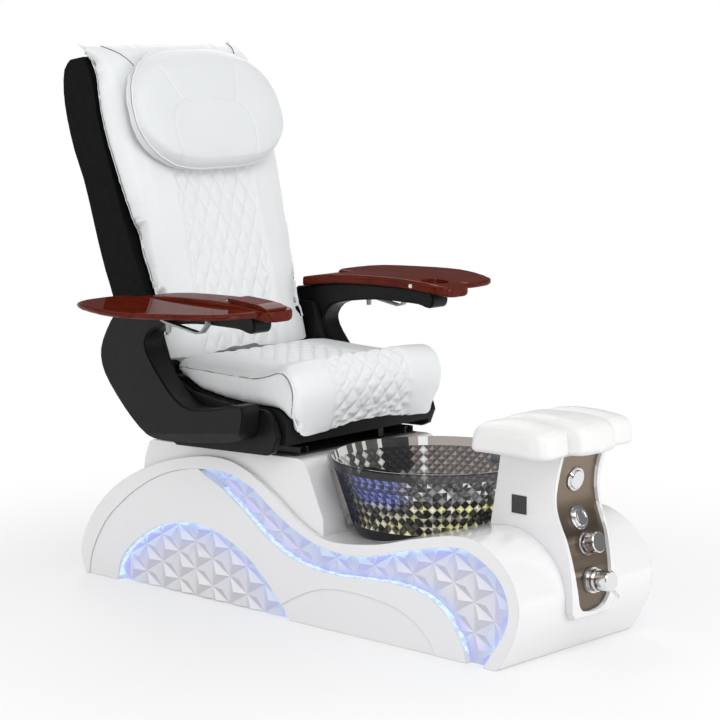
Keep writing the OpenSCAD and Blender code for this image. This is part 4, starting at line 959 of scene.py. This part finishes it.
def glass_bowl():
    """The bowl's cut facets with the light that each one catches."""
    piece = cut_bowl()
    mesh = piece.data
    glint = mesh.color_attributes.new("glint", "FLOAT_COLOR", "CORNER")
    for face in mesh.polygons:
        centre = face.center
        angle = math.degrees(math.atan2(centre.y, centre.x - bowl_x))
        if len(face.vertices) > 3:
            way_out = Vector((centre.x - bowl_x, centre.y, 0)).normalized()
            colour = plain_light(angle, centre.z, face.normal.z, way_out.dot(face.normal))
            for corner in face.loop_indices:
                glint.data[corner].color = colour
            continue
        cells = [(*cell(mesh.vertices[v].co), v) for v in face.vertices]
        row, column, peak = next(c for c in cells if (c[0] + c[1]) % 2 == 0)
        top = mesh.vertices[peak].co
        turn = math.atan2(top.y, top.x - bowl_x)
        upper = centre.z > top.z
        right = math.sin(math.radians(angle) - turn) > 0
        light = facet_light(math.degrees(turn), row, upper, right,
                            chance(row, column, upper * 2 + right), chance(column, row, 5))
        for corner in face.loop_indices:
            fall = 1.0 if mesh.loops[corner].vertex_index == peak else 0.45
            glint.data[corner].color = (*[v * fall for v in light], 0.97)
    hand_over(piece, "bowl")


glass_bowl()


# ---- trays, boards and shells --------------------------------------------------------

# Half outlines of a tray from above, as the construction has it and with blunter ends, in mm.
tray_built = [(-366, 0), (-375, 9), (-380, 48), (-376, 100), (-365, 150), (-345, 188), (-308, 212),
              (-255, 226), (-175, 226), (-95, 215), (-25, 192), (34, 158), (69, 114), (83, 66),
              (84, 20), (79, 0)]
tray_cut = [(-362, 0), (-376, 5), (-385, 20), (-388, 80), (-382, 134), (-364, 164), (-325, 190),
            (-270, 213), (-215, 230), (-165, 236), (-115, 227), (-60, 202), (0, 165), (50, 124),
            (70, 98), (80, 68), (84, 20), (79, 0)]


no_reach = 1e9


def reach(outline, middle, way):
    """How far the outline lies from the middle in the direction way."""
    best = no_reach
    for (ax, ay), (bx, by) in zip(outline, outline[1:]):
        dx, dy = bx - ax, by - ay
        cross = way[0] * dy - way[1] * dx
        if abs(cross) < 1e-9:
            continue
        t = ((ax - middle[0]) * dy - (ay - middle[1]) * dx) / cross
        u = ((ax - middle[0]) * way[1] - (ay - middle[1]) * way[0]) / cross
        if t > 0 and -1e-6 <= u <= 1 + 1e-6:
            best = min(best, t)
    return best


tray_middle, tray_inner_y = (-150, 60), 381


def cut_corners(piece):
    """Gives the tray its blunt ends."""
    for vertex in piece.data.vertices:
        p = vertex.co
        x, y = p.x * 1000 - tray_middle[0], abs(p.y) * 1000 - tray_inner_y - tray_middle[1]
        length = math.hypot(x, y) or 1.0
        way = (x / length, y / length)
        was, now = reach(tray_built, tray_middle, way), reach(tray_cut, tray_middle, way)
        if was < no_reach and now < no_reach:
            p.x = (tray_middle[0] + x * now / was) / 1000
            p.y = math.copysign((tray_middle[1] + y * now / was + tray_inner_y) / 1000, p.y)


for node in ("tray_right", "tray_left"):
    smoothed(node, shape=cut_corners)
for node in ("base_shell", "side_panel_right", "side_panel_left", "footrest_column",
             "control_panel", "arm_cover_right", "arm_cover_left",
             "arm_board_right", "arm_board_left", "remote_lid",
             "side_cover_right", "side_cover_left"):
    smoothed(node)
smoothed("back_shell", finish="shell_black")


# ---- stage, lamps and camera ---------------------------------------------------

class Studio(Finish):
    """The light all round, under construction, with the world's Background node as .shader."""

    def __init__(self, name, **sockets):
        self.world = bpy.data.worlds.new(name)
        self.world.use_nodes = True
        self.tree = self.world.node_tree
        self.shader = self.tree.nodes["Background"]
        self.set(self.shader, sockets)


def floor():
    """Pale floor that turns to plain white away from the chair and keeps its shadow."""
    bpy.ops.mesh.primitive_plane_add(size=60, location=(0, 0, -0.0005))
    plane = bpy.context.active_object
    plane.name = "floor"
    f = Finish("floor_white", Base_Color=rgb(0.86, 0.86, 0.86), Roughness=0.9)
    x, y, _ = f.axes()
    away = (x * x + y * y) ** 0.5
    seen = f.ray("Camera") + f.ray("Glossy") + f.ray("Transmission")
    white = f.node("ShaderNodeEmission", {}, {"Color": rgb(1, 1, 1), "Strength": 1.0})
    blend = f.node("ShaderNodeMixShader", {}, {
        0: f.between(away, 0.7, 1.9, 0.45, 1.0) * f.between(seen, 0.0, 1.0),
        1: Wire(f, f.shader.outputs[0]), 2: white})
    f.set(f.tree.nodes["Material Output"], {"Surface": blend})
    plane.data.materials.append(f.material)


def surroundings():
    """White all round; in mirrors, a room with a dark belt below the ceiling and dark stands."""
    studio = Studio("studio", Color=rgb(1, 1, 1))
    x, y, z = studio.axes(studio.node("ShaderNodeTexCoord", output="Generated"))
    belt = studio.clamp(abs(z - 0.42) * 5.0 - 0.55)
    stands = studio.clamp((y.maths("ARCTAN2", x) * 5.0).maths("SINE") * 1.5 + 0.6)
    mirrored = studio.clamp(belt * stands * 0.8 + 0.2)
    seen = studio.ray("Camera").maths("MAXIMUM", studio.ray("Transmission"))
    mirror = studio.ray("Glossy")
    studio.to(Strength=seen.maths("MAXIMUM", 0.72) * (1 - mirror) + mirrored * mirror)
    bpy.context.scene.world = studio.world


def lamp(name, place, look, size, power):
    bpy.ops.object.light_add(type="AREA", location=place)
    light = bpy.context.active_object
    light.name = name
    light.data.shape = "RECTANGLE"
    light.data.size, light.data.size_y = size
    light.data.energy = power
    light.rotation_euler = (Vector(look) - Vector(place)).to_track_quat("-Z", "Y").to_euler()


camera_place, camera_aim = (3.99063, -4.28324, 1.48737), (0.05199, 0, 0.60735)
focal_px, picture_px, sensor_mm = 2413.9, 720, 36


def camera():
    bpy.ops.object.camera_add(location=camera_place)
    eye = bpy.context.active_object
    eye.name = "camera"
    aim = Vector(camera_aim) - eye.location
    eye.rotation_euler = aim.to_track_quat("-Z", "Y").to_euler()
    eye.data.sensor_width = sensor_mm
    eye.data.lens = focal_px / picture_px * sensor_mm
    bpy.context.scene.camera = eye


floor()
surroundings()
lamp("key", (2.9, -1.6, 3.4), (0, 0, 0.5), (2.4, 2.4), 56)
lamp("fill", (4.2, 0.8, 1.3), (0, 0, 0.5), (2.2, 1.8), 36)
lamp("side", (-1.9, -4.0, 1.7), (0, 0, 0.5), (3.0, 2.0), 34)
lamp("rim", (-2.6, 2.4, 3.0), (0, 0, 0.8), (2.0, 2.0), 34)
camera()

bpy.context.scene.view_settings.view_transform = "Standard"
